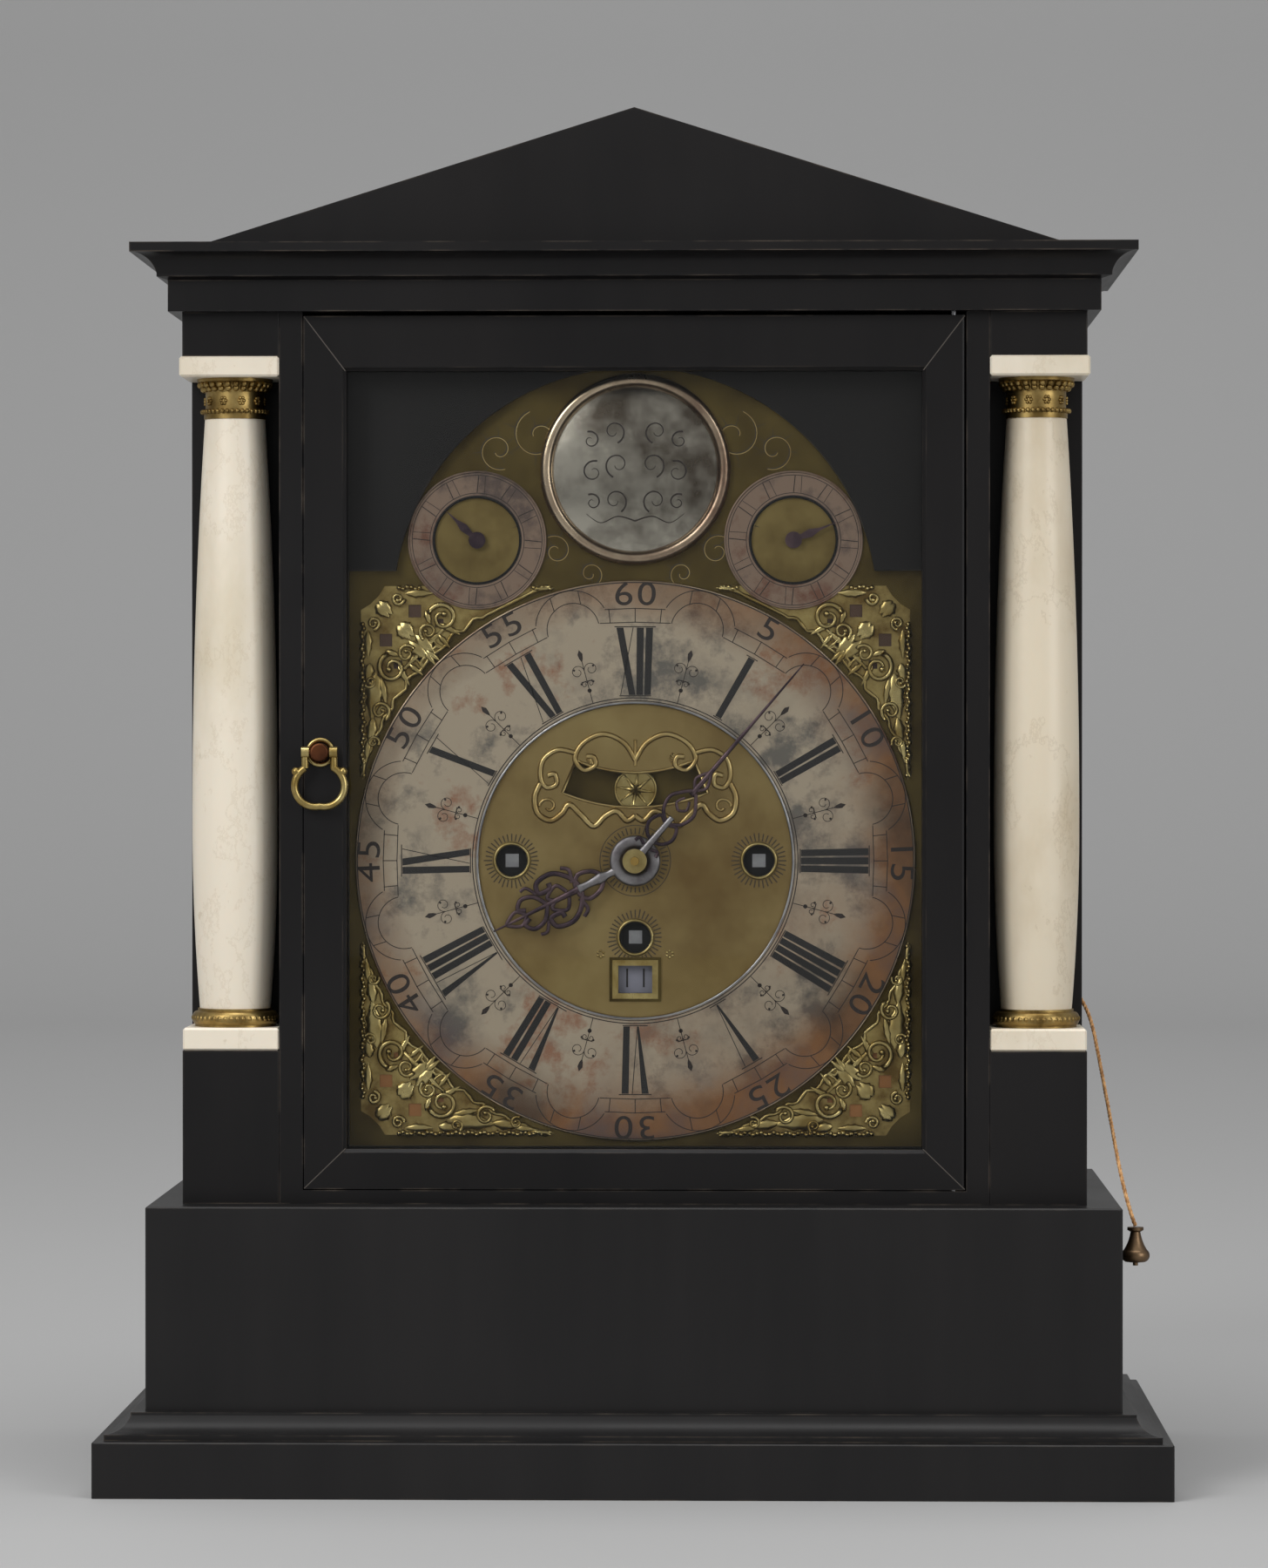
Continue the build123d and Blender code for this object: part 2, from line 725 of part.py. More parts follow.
with BuildPart() as name_boss:
    with BuildSketch(Plane(origin=(0, dial_front, dial_height + boss_height), x_dir=(1, 0, 0), z_dir=(0, 0, 1))):
        with BuildLine():
            Polyline((0, -boss_rise), (0, 0), (boss_dome_radius, 0), (boss_dome_radius, -1.0))
            dome_arc(boss_dome_radius, -1.0, -boss_rise)
        make_face()
    revolve(axis=Axis((0, dial_front, dial_height + boss_height), (0, 1, 0)))
save(name_boss.part, "name_boss")

with BuildPart() as boss_bezel:
    with BuildSketch(Plane(origin=(0, dial_front, dial_height + boss_height), x_dir=(1, 0, 0), z_dir=(0, 0, 1))):
        with BuildLine():
            Polyline((boss_dome_radius, -1.6), (boss_dome_radius, 0), (boss_radius, 0), (boss_radius, -1.0))
            ThreePointArc(
                (boss_radius, -1.0), ((boss_radius + boss_dome_radius) / 2, -3.4), (boss_dome_radius, -1.6)
            )
        make_face()
    revolve(axis=Axis((0, dial_front, dial_height + boss_height), (0, 1, 0)))
save(boss_bezel.part, "boss_bezel")

# corner spandrels: pierced castings that follow the chapter ring
with BuildPart() as spandrels:
    for up, wide, tall in ((-1, 68.0, 68.0), (1, 41.7, 69.0)):
        for sign in (-1, 1):
            corner_x = sign * (mask_half_opening - spandrel_margin)
            corner_z = shoulder_height - spandrel_head if up > 0 else spandrel_foot - dial_bottom
            with BuildSketch(dial_plane(dial_front)):
                with Locations((corner_x - sign * wide / 2, corner_z - up * tall / 2)):
                    Rectangle(wide, tall)
                Circle(chapter_outer + 1.8, mode=Mode.SUBTRACT)
                if up > 0:
                    with Locations((sign * subdial_x, subdial_height)):
                        Circle(subdial_outer + 0.8, mode=Mode.SUBTRACT)
                with Locations((corner_x - sign * spandrel_near_hole, corner_z - up * 5.5),
                               (corner_x - sign * 5.5, corner_z - up * spandrel_near_hole),
                               (corner_x - sign * spandrel_far_hole, corner_z - up * 4.4),
                               (corner_x - sign * 4.4, corner_z - up * spandrel_far_hole)):
                    Circle(spandrel_hole, mode=Mode.SUBTRACT)
            extrude(amount=spandrel_thickness)
save(spandrels.part, "spandrels")

# hands
hour_y = dial_front - chapter_thickness - 2.0
minute_y = hour_y - hand_thickness - 2.2


def hand_plane(angle, y, x=0.0, z=0.0):
    """A plane on a hand's axis whose own Y points along the hand at that clock angle."""
    turn = math.radians(angle)
    return Plane(origin=(x, y, dial_height + z), x_dir=(math.cos(turn), 0, -math.sin(turn)), z_dir=(0, -1, 0))


with BuildPart() as hour_hand:
    with BuildSketch(hand_plane(hour_angle, hour_y)):
        Circle(8.9)
        with BuildLine():
            Polyline((-1.2, 6.0), (-0.9, 30.0), (-1.4, 46.0), (0, hour_length), (1.4, 46.0), (0.9, 30.0), (1.2, 6.0),
                     close=True)
        make_face()
        for sign in (-1, 1):
            for along, out, size in ((15.0, 4.8, 4.8), (25.5, 6.2, 5.8), (37.0, 4.2, 4.6)):
                with Locations((sign * out, along)):
                    Circle(size)
                    Circle(size - 1.3, mode=Mode.SUBTRACT)
        with Locations((0, 27.0)):
            Rectangle(1.8, 36.0)
        Circle(4.1, mode=Mode.SUBTRACT)
    extrude(amount=hand_thickness)
save(hour_hand.part, "hour_hand")

with BuildPart() as minute_hand:
    with BuildSketch(hand_plane(minute_angle, minute_y)):
        Circle(4.6)
        with BuildLine():
            Polyline((-1.3, 3.5), (-0.9, 32.0), (-0.9, 62.0), (-0.2, minute_length), (0.2, minute_length),
                     (0.9, 62.0), (0.9, 32.0), (1.3, 3.5), close=True)
        make_face()
        for sign in (-1, 1):
            for along, out, size in ((10.5, 3.0, 2.9), (19.0, 3.0, 3.1), (27.0, 2.2, 2.3)):
                with Locations((sign * out, along)):
                    Circle(size)
                    Circle(size - 1.0, mode=Mode.SUBTRACT)
        with Locations((0, 17.0)):
            Rectangle(1.6, 28.0)
        Circle(cannon_radius, mode=Mode.SUBTRACT)
    extrude(amount=hand_thickness)
save(minute_hand.part, "minute_hand")

with BuildPart() as hand_collet:
    disc(dial_plane(minute_y - hand_thickness), 4.2, 1.0)
    disc(dial_plane(minute_y - hand_thickness - 1.0), 2.6, 0.5)
    disc(dial_plane(minute_y), arbor_radius + running_gap, 4.0, mode=Mode.SUBTRACT)
save(hand_collet.part, "hand_collet")

for name, sign, angle, length in (
    ("strike_hand", -1, -46.6, strike_hand_length),
    ("repeat_hand", 1, 67.5, repeat_hand_length),
):
    with BuildPart() as small_hand:
        with BuildSketch(hand_plane(angle, dial_front - 1.6, sign * subdial_x, subdial_height)):
            Circle(2.9)
            with BuildLine():
                Polyline((-0.7, 2.0), (-1.5, 6.4), (-0.5, 9.6), (0, length), (0.5, 9.6), (1.5, 6.4), (0.7, 2.0),
                         close=True)
            make_face()
        extrude(amount=0.8)
        disc(dial_plane(dial_back + 2.0, sign * subdial_x, subdial_height), 1.2, dial_thickness + 2.0 + 1.6)
        disc(dial_plane(dial_back + 2.0, sign * subdial_x, subdial_height), 2.4, 1.6)
    save(small_hand.part, name)

with BuildPart() as date_disc:
    disc(dial_plane(dial_back + 1.6, z=-date_disc_drop), date_disc_radius, 1.0)
    disc(dial_plane(dial_back + 2.0, z=-date_disc_drop), 1.6 + running_gap, 4.0, mode=Mode.SUBTRACT)
save(date_disc.part, "date_disc")

# movement plates
fourth_z = (centre_teeth + third_leaves + third_teeth + fourth_leaves) * train_module / 2
third_z = (centre_teeth + third_leaves) * train_module / 2
escape_z = fourth_z + (fourth_teeth + escape_leaves) * fourth_module / 2
motion_distance = (cannon_teeth + minute_teeth) * motion_module / 2
minute_stud_at = (motion_distance * math.sqrt(0.5), motion_distance * math.sqrt(0.5))
corner_x = plate_half_width - pillar_inset
pillar_points = [
    (-corner_x, pillar_inset - plate_bottom),
    (corner_x, pillar_inset - plate_bottom),
    (-corner_x, plate_top - pillar_inset),
    (corner_x, plate_top - pillar_inset),
]
hammer_at = (-52.0, 17.0)
motion_front = front_plate_y - plate_thickness
back_face = back_plate_y + plate_thickness


def plate_sketch(plane):
    """The outline and the holes that both plates share."""
    with BuildSketch(plane) as face:
        with Locations((0, (plate_top - plate_bottom) / 2)):
            Rectangle(2 * plate_half_width, plate_top + plate_bottom)
        Circle(centre_arbor_radius + running_gap, mode=Mode.SUBTRACT)
        with Locations((0, third_z), (0, fourth_z), (0, escape_z)):
            Circle(train_arbor_radius + running_gap, mode=Mode.SUBTRACT)
        with Locations((0, pallet_height)):
            Circle(pallet_arbor_radius + running_gap, mode=Mode.SUBTRACT)
        with Locations(*winding_points):
            Circle(winding_radius + running_gap, mode=Mode.SUBTRACT)
        with Locations(*pillar_points):
            Circle(2.0, mode=Mode.SUBTRACT)
    return face.sketch


with BuildPart() as front_plate:
    extrude(plate_sketch(dial_plane(front_plate_y)), amount=plate_thickness)
    disc(dial_plane(motion_front, *minute_stud_at), 1.2, 6.0)
save(front_plate.part, "front_plate")

with BuildPart() as back_plate:
    extrude(plate_sketch(dial_plane(back_face)), amount=plate_thickness)
    disc(dial_plane(back_face, *hammer_at), 1.4 + running_gap, plate_thickness, mode=Mode.SUBTRACT)
save(back_plate.part, "back_plate")

with BuildPart() as movement_pillars:
    for x, z in pillar_points:
        disc(dial_plane(back_plate_y, x, z), pillar_radius, back_plate_y - front_plate_y)
        disc(dial_plane(back_face + 2.0, x, z), 2.0, back_face - motion_front + 4.0)
save(movement_pillars.part, "movement_pillars")

with BuildPart() as seat_board:
    seat_top = dial_height - plate_bottom
    seat_front = niche_y + niche_back_thickness
    block(-inner_half, inner_half, seat_front, back_face + 6.0, seat_top - seat_thickness, seat_top)
    block(-stile_x, stile_x, motion_front - 2.0, seat_front, seat_top - seat_thickness, seat_top)
    for sign in (-1, 1):
        block(*sorted((sign * (inner_half - 8.0), sign * inner_half)), seat_front, back_face + 4.0,
              base_top, seat_top - seat_thickness)
save(seat_board.part, "seat_board")

# barrels and winding arbors
drum_front = front_plate_y + 6.0
drum_back = drum_front + barrel_length
with BuildPart() as going_barrel:
    cut_wheel(dial_plane(drum_front, z=-winding_z), great_teeth, great_module, 2.0, 90 + 180 / great_teeth)
    disc(dial_plane(drum_back, z=-winding_z), barrel_radius, barrel_length)
    disc(dial_plane(drum_back - 2.0, z=-winding_z), barrel_radius - 1.6, barrel_length - 4.0, mode=Mode.SUBTRACT)
    disc(dial_plane(drum_back, z=-winding_z), winding_radius + running_gap, barrel_length + 4.0, mode=Mode.SUBTRACT)
save(going_barrel.part, "going_barrel")

with BuildPart() as strike_barrels:
    for sign in (-1, 1):
        disc(dial_plane(drum_back, sign * winding_x), barrel_radius - 1.0, barrel_length)
        disc(dial_plane(drum_back - 2.0, sign * winding_x), barrel_radius - 2.6, barrel_length - 4.0,
             mode=Mode.SUBTRACT)
        disc(dial_plane(drum_back, sign * winding_x), winding_radius + running_gap, barrel_length,
             mode=Mode.SUBTRACT)
save(strike_barrels.part, "strike_barrels")

for name, (x, z) in zip(("left", "right", "lower"), winding_points):
    with BuildPart() as winding_arbor:
        disc(dial_plane(back_face, x, z), winding_radius, back_face - motion_front)
        with BuildSketch(dial_plane(motion_front, x, z)):
            Rectangle(winding_square, winding_square)
        extrude(amount=motion_front - dial_back - 0.6)
        disc(dial_plane(back_face + 1.4, x, z), winding_radius + 1.4, 1.0)
        disc(dial_plane(back_face + 1.4, x, z), winding_radius, 1.4)
    save(winding_arbor.part, f"winding_arbor_{name}")

# going train
centre_wheel_y = drum_back + 6.0
third_wheel_y = drum_back
fourth_wheel_y = drum_back - 10.0
escape_wheel_y = drum_back - 20.0
with BuildPart() as centre_wheel:
    cut_wheel(dial_plane(centre_wheel_y), centre_teeth, train_module, wheel_thickness, 0, spokes=4)
    cut_wheel(dial_plane(drum_front + 1.5), centre_leaves, great_module, 5.0, 90, tooth=0.34)
    disc(dial_plane(back_face), centre_arbor_radius, back_face - motion_front)
    disc(dial_plane(motion_front), arbor_radius, motion_front - minute_y + hand_thickness + 3.0)
save(centre_wheel.part, "centre_wheel")

for name, z, wheel_y, teeth, module, pinion_y, leaves, leaf_module, leaf_turn in (
    ("third_wheel", third_z, third_wheel_y, third_teeth, train_module,
     centre_wheel_y + 1.0, third_leaves, train_module, 90 + 180 / third_leaves),
    ("fourth_wheel", fourth_z, fourth_wheel_y, fourth_teeth, fourth_module,
     third_wheel_y + 1.5, fourth_leaves, train_module, 90),
):
    with BuildPart() as train_wheel:
        cut_wheel(dial_plane(wheel_y, z=z), teeth, module, wheel_thickness, 90, spokes=4)
        cut_wheel(dial_plane(pinion_y, z=z), leaves, leaf_module, 4.0, leaf_turn, tooth=0.34)
        disc(dial_plane(back_face, z=z), train_arbor_radius, back_face - motion_front)
    save(train_wheel.part, name)

with BuildPart() as escape_wheel:
    with BuildSketch(dial_plane(escape_wheel_y, z=escape_z)):
        with BuildLine():
            saw = []
            for index in range(escape_teeth):
                for radius, part in ((escape_radius - 2.6, 0.0), (escape_radius, 0.1), (escape_radius, 0.22),
                                     (escape_radius - 2.6, 0.75)):
                    angle = (index + part) * 2 * math.pi / escape_teeth
                    saw.append((radius * math.cos(angle), radius * math.sin(angle)))
            Polyline(*saw, close=True)
        make_face()
        Circle(escape_radius - 4.4, mode=Mode.SUBTRACT)
        Circle(2.6)
        with PolarLocations(escape_radius / 2 - 0.6, 4):
            Rectangle(escape_radius - 5.0, 1.6)
    extrude(amount=wheel_thickness)
    cut_wheel(dial_plane(fourth_wheel_y + 1.5, z=escape_z), escape_leaves, fourth_module, 4.0,
              90 + 180 / escape_leaves, tooth=0.34)
    disc(dial_plane(back_face, z=escape_z), train_arbor_radius, back_face - motion_front)
save(escape_wheel.part, "escape_wheel")

# motion work behind the dial
hour_module = 2 * motion_distance / (minute_leaves + hour_teeth)
with BuildPart() as cannon_pinion:
    cut_wheel(dial_plane(motion_front - 0.5), cannon_teeth, motion_module, 1.4, 45)
    disc(dial_plane(motion_front - 0.5), cannon_radius, motion_front - 0.5 - minute_y + hand_thickness)
    disc(dial_plane(motion_front), arbor_radius + running_gap, 40.0, mode=Mode.SUBTRACT)
save(cannon_pinion.part, "cannon_pinion")

with BuildPart() as hour_wheel:
    cut_wheel(dial_plane(motion_front - 3.4), hour_teeth, hour_module, 1.4, 45, spokes=4, rim=1.6, hub=5.2)
    disc(dial_plane(motion_front - 3.4), 4.1, motion_front - 3.4 - hour_y + hand_thickness)
    disc(dial_plane(motion_front), cannon_radius + running_gap, 40.0, mode=Mode.SUBTRACT)
save(hour_wheel.part, "hour_wheel")

with BuildPart() as minute_wheel:
    cut_wheel(dial_plane(motion_front - 0.5, *minute_stud_at), minute_teeth, motion_module, 1.4,
              225 + 180 / minute_teeth)
    cut_wheel(dial_plane(motion_front - 1.9, *minute_stud_at), minute_leaves, hour_module, 3.4,
              225 + 180 / minute_leaves, tooth=0.34)
    disc(dial_plane(motion_front, *minute_stud_at), 1.2 + running_gap, 9.0, mode=Mode.SUBTRACT)
save(minute_wheel.part, "minute_wheel")

# pallets, mock pendulum and pendulum on one arbor
rod_y = back_face + 8.0
mock_y = dial_back + 2.6
with BuildPart() as pallet_arbor:
    disc(dial_plane(rod_y + 1.0, z=pallet_height), pallet_arbor_radius, rod_y + 1.0 - dial_back - 1.0)
    with BuildSketch(dial_plane(escape_wheel_y, z=pallet_height)):
        Circle(3.2)
        with BuildLine():
            ThreePointArc((-14.2, -13.4), (0, 2.6), (14.2, -13.4))
            Line((14.2, -13.4), (12.6, -13.8))
            ThreePointArc((12.6, -13.8), (0, -1.6), (-12.6, -13.8))
            Line((-12.6, -13.8), (-14.2, -13.4))
        make_face()
    extrude(amount=wheel_thickness)
save(pallet_arbor.part, "pallet_arbor")

with BuildPart() as mock_pendulum:
    with BuildSketch(dial_plane(mock_y, z=pallet_height)):
        with Locations((0, -mock_drop / 2)):
            Rectangle(2.0, mock_drop)
        Circle(3.2)
        with Locations((0, -mock_drop)):
            Circle(mock_radius)
        Circle(pallet_arbor_radius, mode=Mode.SUBTRACT)
    extrude(amount=1.0)
save(mock_pendulum.part, "mock_pendulum")

with BuildPart() as pendulum:
    with BuildSketch(dial_plane(rod_y, z=pallet_height)):
        with Locations((0, -pendulum_length / 2)):
            Rectangle(2.4, pendulum_length)
        Circle(3.4)
        Circle(pallet_arbor_radius, mode=Mode.SUBTRACT)
    extrude(amount=1.6)
    with BuildSketch(
        Plane(origin=(0, rod_y, dial_height + pallet_height - pendulum_length), x_dir=(1, 0, 0), z_dir=(0, 0, 1))
    ):
        with BuildLine():
            dome_arc(bob_radius, -0.8, bob_half - 0.8)
            dome_arc(bob_radius, -0.8, -bob_half - 0.8)
            Line((0, -bob_half - 0.8), (0, bob_half - 0.8))
        make_face()
    revolve(axis=Axis((0, rod_y, dial_height + pallet_height - pendulum_length), (0, 1, 0)))
save(pendulum.part, "pendulum")

# bell behind the movement with its hammer
bell_y = back_face + 20.0
with BuildPart() as bell:
    with BuildSketch(Plane(origin=(bell_x, bell_y, dial_height + bell_z), x_dir=(1, 0, 0), z_dir=(0, 0, 1))):
        with BuildLine():
            Polyline(
                (0, 0),
                (bell_crown, 0),
                (bell_radius * 0.8, bell_depth * 0.3),
                (bell_radius, bell_depth),
                (bell_radius - bell_wall, bell_depth),
                (bell_radius * 0.8 - bell_wall, bell_depth * 0.3 + bell_wall),
                (bell_crown, bell_wall),
                (0, bell_wall),
                close=True,
            )
        make_face()
    revolve(axis=Axis((bell_x, bell_y, dial_height + bell_z), (0, 1, 0)))
    disc(dial_plane(bell_y, bell_x, bell_z), 2.2, bell_y - back_face)
save(bell.part, "bell")

with BuildPart() as hammer:
    disc(dial_plane(back_face + 16.0, *hammer_at), 1.4, 16.0 + plate_thickness)
    disc(dial_plane(back_face + 1.6, *hammer_at), 2.6, 1.2)
    with BuildSketch(dial_plane(back_face + 16.0, *hammer_at)):
        Circle(2.6)
        with Locations((-hammer_at[0] + bell_x - 9.0, 2.0)):
            Rectangle(20.0, 2.4)
    extrude(amount=2.0)
    disc(dial_plane(bell_y + bell_depth, bell_x, hammer_at[1] + 2.0), 3.2, bell_y + bell_depth - back_face - 14.0)
save(hammer.part, "hammer")

# repeat cord and its turned pull
base_side = base_width / 2
pull_top = (base_side + cord_pull_radius + pull_gap, cord_fall_y, cord_pull_top)
cord_points = [
    Vector(inner_half - 0.5, cord_exit_y, cord_exit_z + 1.0),
    Vector(half_case + 1.6, cord_exit_y - 0.4, cord_exit_z - 0.4),
    Vector(half_case + 7.6, (cord_exit_y + cord_fall_y) / 2, (cord_exit_z + base_top) / 2 + 1.0),
    Vector(base_side + 1.6, cord_fall_y, base_top + 2.2),
    Vector(pull_top[0], pull_top[1], pull_top[2] + 0.4),
]
runs = [b - a for a, b in zip(cord_points, cord_points[1:])]
radii = []
for before, after in zip(runs, runs[1:]):
    half_turn = math.radians(before.get_angle(after)) / 2
    radii.append(0.45 * min(before.length, after.length) / math.tan(half_turn))
with BuildPart() as repeat_cord:
    with BuildLine() as route:
        FilletPolyline(*cord_points, radius=radii)
    with BuildSketch(Plane(route.line @ 0, z_dir=route.line % 0)):
        Circle(cord_diameter / 2)
    sweep(path=route.line)
save(repeat_cord.part, "repeat_cord")
print("cord runs", [round(r.length, 1) for r in runs], "radii", [round(r, 1) for r in radii])
cord_length = sum(edge.length for edge in route.line.edges())
print("cord length", round(cord_length, 1), "volume", round(repeat_cord.part.volume, 1),
      "section times length", round(math.pi * cord_diameter**2 / 4 * cord_length, 1))


def pull_profile():
    """A bell-shaped turning with a collar and a small nub."""
    Polyline((0, 0), (0.9, 0), (0.9, 1.0), (cord_pull_radius - 1.4, 1.3))
    ThreePointArc((cord_pull_radius - 1.4, 1.3), (cord_pull_radius, 3.2), (cord_pull_radius - 0.9, 5.4))
    ThreePointArc((cord_pull_radius - 0.9, 5.4), (2.6, 8.2), (1.7, cord_pull_height - 1.6))
    Polyline(
        (1.7, cord_pull_height - 1.6),
        (2.8, cord_pull_height - 1.0),
        (2.8, cord_pull_height),
        (0, cord_pull_height),
        (0, 0),
    )


with BuildPart() as repeat_pull:
    turned(pull_top[0], pull_top[1], pull_top[2] - cord_pull_height, pull_profile)
save(repeat_pull.part, "repeat_pull")
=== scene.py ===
import random
from math import atan2, cos, exp, hypot, pi, radians, sin, sqrt

import bmesh
import bpy
from mathutils import Matrix, Vector
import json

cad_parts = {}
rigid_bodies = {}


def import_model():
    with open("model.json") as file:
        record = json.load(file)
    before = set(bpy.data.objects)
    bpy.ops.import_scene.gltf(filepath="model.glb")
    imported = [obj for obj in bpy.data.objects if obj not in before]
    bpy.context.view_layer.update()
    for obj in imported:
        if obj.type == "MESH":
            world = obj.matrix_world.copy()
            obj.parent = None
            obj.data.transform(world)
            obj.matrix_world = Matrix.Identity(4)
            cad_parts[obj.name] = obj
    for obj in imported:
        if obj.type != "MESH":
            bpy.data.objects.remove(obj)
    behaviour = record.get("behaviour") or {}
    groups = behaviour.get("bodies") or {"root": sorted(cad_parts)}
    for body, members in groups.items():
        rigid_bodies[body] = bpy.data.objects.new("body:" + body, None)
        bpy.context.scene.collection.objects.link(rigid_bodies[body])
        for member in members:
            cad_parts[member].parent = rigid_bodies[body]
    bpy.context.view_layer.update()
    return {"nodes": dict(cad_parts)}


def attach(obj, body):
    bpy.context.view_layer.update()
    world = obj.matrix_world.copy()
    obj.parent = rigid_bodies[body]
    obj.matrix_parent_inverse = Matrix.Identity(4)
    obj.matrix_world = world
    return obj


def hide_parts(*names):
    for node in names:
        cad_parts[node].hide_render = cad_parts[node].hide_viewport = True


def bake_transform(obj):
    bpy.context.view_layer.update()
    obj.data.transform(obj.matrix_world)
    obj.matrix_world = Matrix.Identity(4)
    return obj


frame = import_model()
print("frame loaded")

nodes = frame["nodes"]
mm = 0.001
# the dial's landmarks, in millimetres: depths are the frame's Y, the rest is measured from the dial's centre
dialZ = 216.2
plateFace = -51.6
bossZ = 136.0
dateZ = -41.3
windingHoles = [(-43, 0), (43, 0), (0, -26.667)]
subdialLook = {"x": 55.0, "z": 111.4, "lineDepth": plateFace - 1.06, "hours": 12}
random.seed(7)


# small helpers

def newMaterial(name):
    material = bpy.data.materials.new(name)
    material.use_nodes = True
    tree = material.node_tree
    shader = tree.nodes["Principled BSDF"]
    return material, tree, shader


def setInputs(tree, node, values):
    for name, value in values.items():
        if hasattr(value, "links"):
            tree.links.new(value, node.inputs[name])
        else:
            node.inputs[name].default_value = value


def addNode(tree, kind, values, **settings):
    node = tree.nodes.new("ShaderNode" + kind)
    for name, value in settings.items():
        setattr(node, name, value)
    setInputs(tree, node, values)
    return node.outputs


def mapRange(tree, value, low, high, interpolation="LINEAR"):
    values = {"From Min": low, "From Max": high, "Value": value}
    return addNode(tree, "MapRange", values, interpolation_type=interpolation)["Result"]


def noise(tree, scale, detail=4.0, rough=0.55, stretch=(1, 1, 1), seed=0.0):
    coords = addNode(tree, "TexCoord", {})["Object"]
    place = {"Vector": coords, "Location": (seed, seed * 0.7, seed * 1.3), "Scale": stretch}
    mapping = addNode(tree, "Mapping", place)["Vector"]
    values = {"Vector": mapping, "Scale": scale, "Detail": detail, "Roughness": rough}
    return addNode(tree, "TexNoise", values)["Fac"]


def ramp(tree, value, stops):
    node = tree.nodes.new("ShaderNodeValToRGB")
    elements = node.color_ramp.elements
    while len(elements) < len(stops):
        elements.new(0.5)
    for element, (place, color) in zip(elements, stops):
        element.position = place
        element.color = color + (1.0,)
    tree.links.new(value, node.inputs["Fac"])
    return node.outputs["Color"]


def mixColor(tree, factor, *colors, blend="MIX"):
    first, second = (color + (1.0,) if isinstance(color, tuple) else color for color in colors)
    return addNode(tree, "Mix", {0: factor, 6: first, 7: second}, data_type="RGBA", blend_type=blend)[2]


def bump(tree, shader, height, strength, distance=0.0003):
    values = {"Strength": strength, "Distance": distance, "Height": height}
    tree.links.new(addNode(tree, "Bump", values)["Normal"], shader.inputs["Normal"])


def edgeWear(tree, radius, low, high):
    bevel = addNode(tree, "Bevel", {"Radius": radius}, samples=6)["Normal"]
    normal = addNode(tree, "NewGeometry", {})["Normal"]
    facing = addNode(tree, "VectorMath", {0: bevel, 1: normal}, operation="DOT_PRODUCT")["Value"]
    return ramp(tree, facing, [(low, (1, 1, 1)), (high, (0, 0, 0))])


def lin(*levels):
    shares = [level / 255 for level in levels]
    return tuple(share / 12.92 if share <= 0.04045 else ((share + 0.055) / 1.055) ** 2.4 for share in shares)


def grey(value):
    return (value,) * 3


# materials
black = grey(0)
woodLook = {"base": lin(12, 11, 12), "light": lin(21, 19, 19), "wear": lin(92, 82, 72), "rough": 0.34}


def makeWood(name, look, lighter=0.0, seed=0.0):
    material, tree, shader = newMaterial(name)
    grain = noise(tree, 22.0, 8.0, 0.62, (1.0, 1.0, 0.08), seed)
    cloud = noise(tree, 9.0, 3.0, 0.5, seed=seed + 4)
    base = tuple(c + lighter for c in look["base"])
    light = tuple(c + lighter * 1.4 for c in look["light"])
    grainColor = ramp(tree, grain, [(0.35, base), (0.75, light)])
    dusty = ramp(tree, cloud, [(0.40, black), (0.85, grey(0.22))])
    body = mixColor(tree, dusty, grainColor, tuple(c * 1.6 for c in light))
    worn = edgeWear(tree, 0.0011, 0.80, 0.985)
    patchy = ramp(tree, noise(tree, 60.0, 5.0, 0.6, seed=seed + 9), [(0.45, black), (0.7, grey(0.8))])
    wear = mixColor(tree, 1.0, worn, patchy, blend="MULTIPLY")
    color = mixColor(tree, wear, body, look["wear"])
    roughness = ramp(tree, cloud, [(0.3, grey(look["rough"])), (0.8, grey(look["rough"] + 0.14))])
    setInputs(tree, shader, {"Base Color": color, "Roughness": roughness, "Specular IOR Level": 0.24})
    bump(tree, shader, grain, 0.10, 0.0002)
    return material


woodMaterial = makeWood("ebonised wood", woodLook)
baseWood = makeWood("ebonised base", woodLook, 0.004, 3.0)
maskWood = makeWood("black mask", woodLook, 0.001, 6.0)

stoneLook = {
    "left": (lin(226, 216, 198), lin(208, 196, 172), lin(180, 160, 128), 1.0),
    "right": (lin(212, 200, 178), lin(190, 174, 146), lin(146, 124, 88), 11.0),
}


def makeStone(name, pale, mid, vein, seed):
    material, tree, shader = newMaterial(name)
    cloud = noise(tree, 14.0, 6.0, 0.62, (1, 1, 0.55), seed)
    body = ramp(tree, cloud, [(0.32, mid), (0.52, pale), (0.72, tuple(c * 1.04 for c in pale))])
    warp = noise(tree, 34.0, 7.0, 0.7, (1, 1, 0.6), seed + 5)
    veins = ramp(tree, warp, [(0.485, black), (0.50, grey(0.22)), (0.515, black)])
    lines = mixColor(tree, veins, body, vein)
    speck = ramp(tree, noise(tree, 150.0, 3.0, 0.6, seed=seed + 8), [(0.70, black), (0.76, grey(0.35))])
    color = mixColor(tree, speck, lines, vein)
    setInputs(tree, shader, {"Base Color": color, "Roughness": 0.34, "Subsurface Weight": 0.18,
                             "Subsurface Radius": (0.006, 0.004, 0.003)})
    bump(tree, shader, warp, 0.12, 0.0002)
    return material


stoneLeft = makeStone("alabaster left", *stoneLook["left"])
stoneRight = makeStone("alabaster right", *stoneLook["right"])


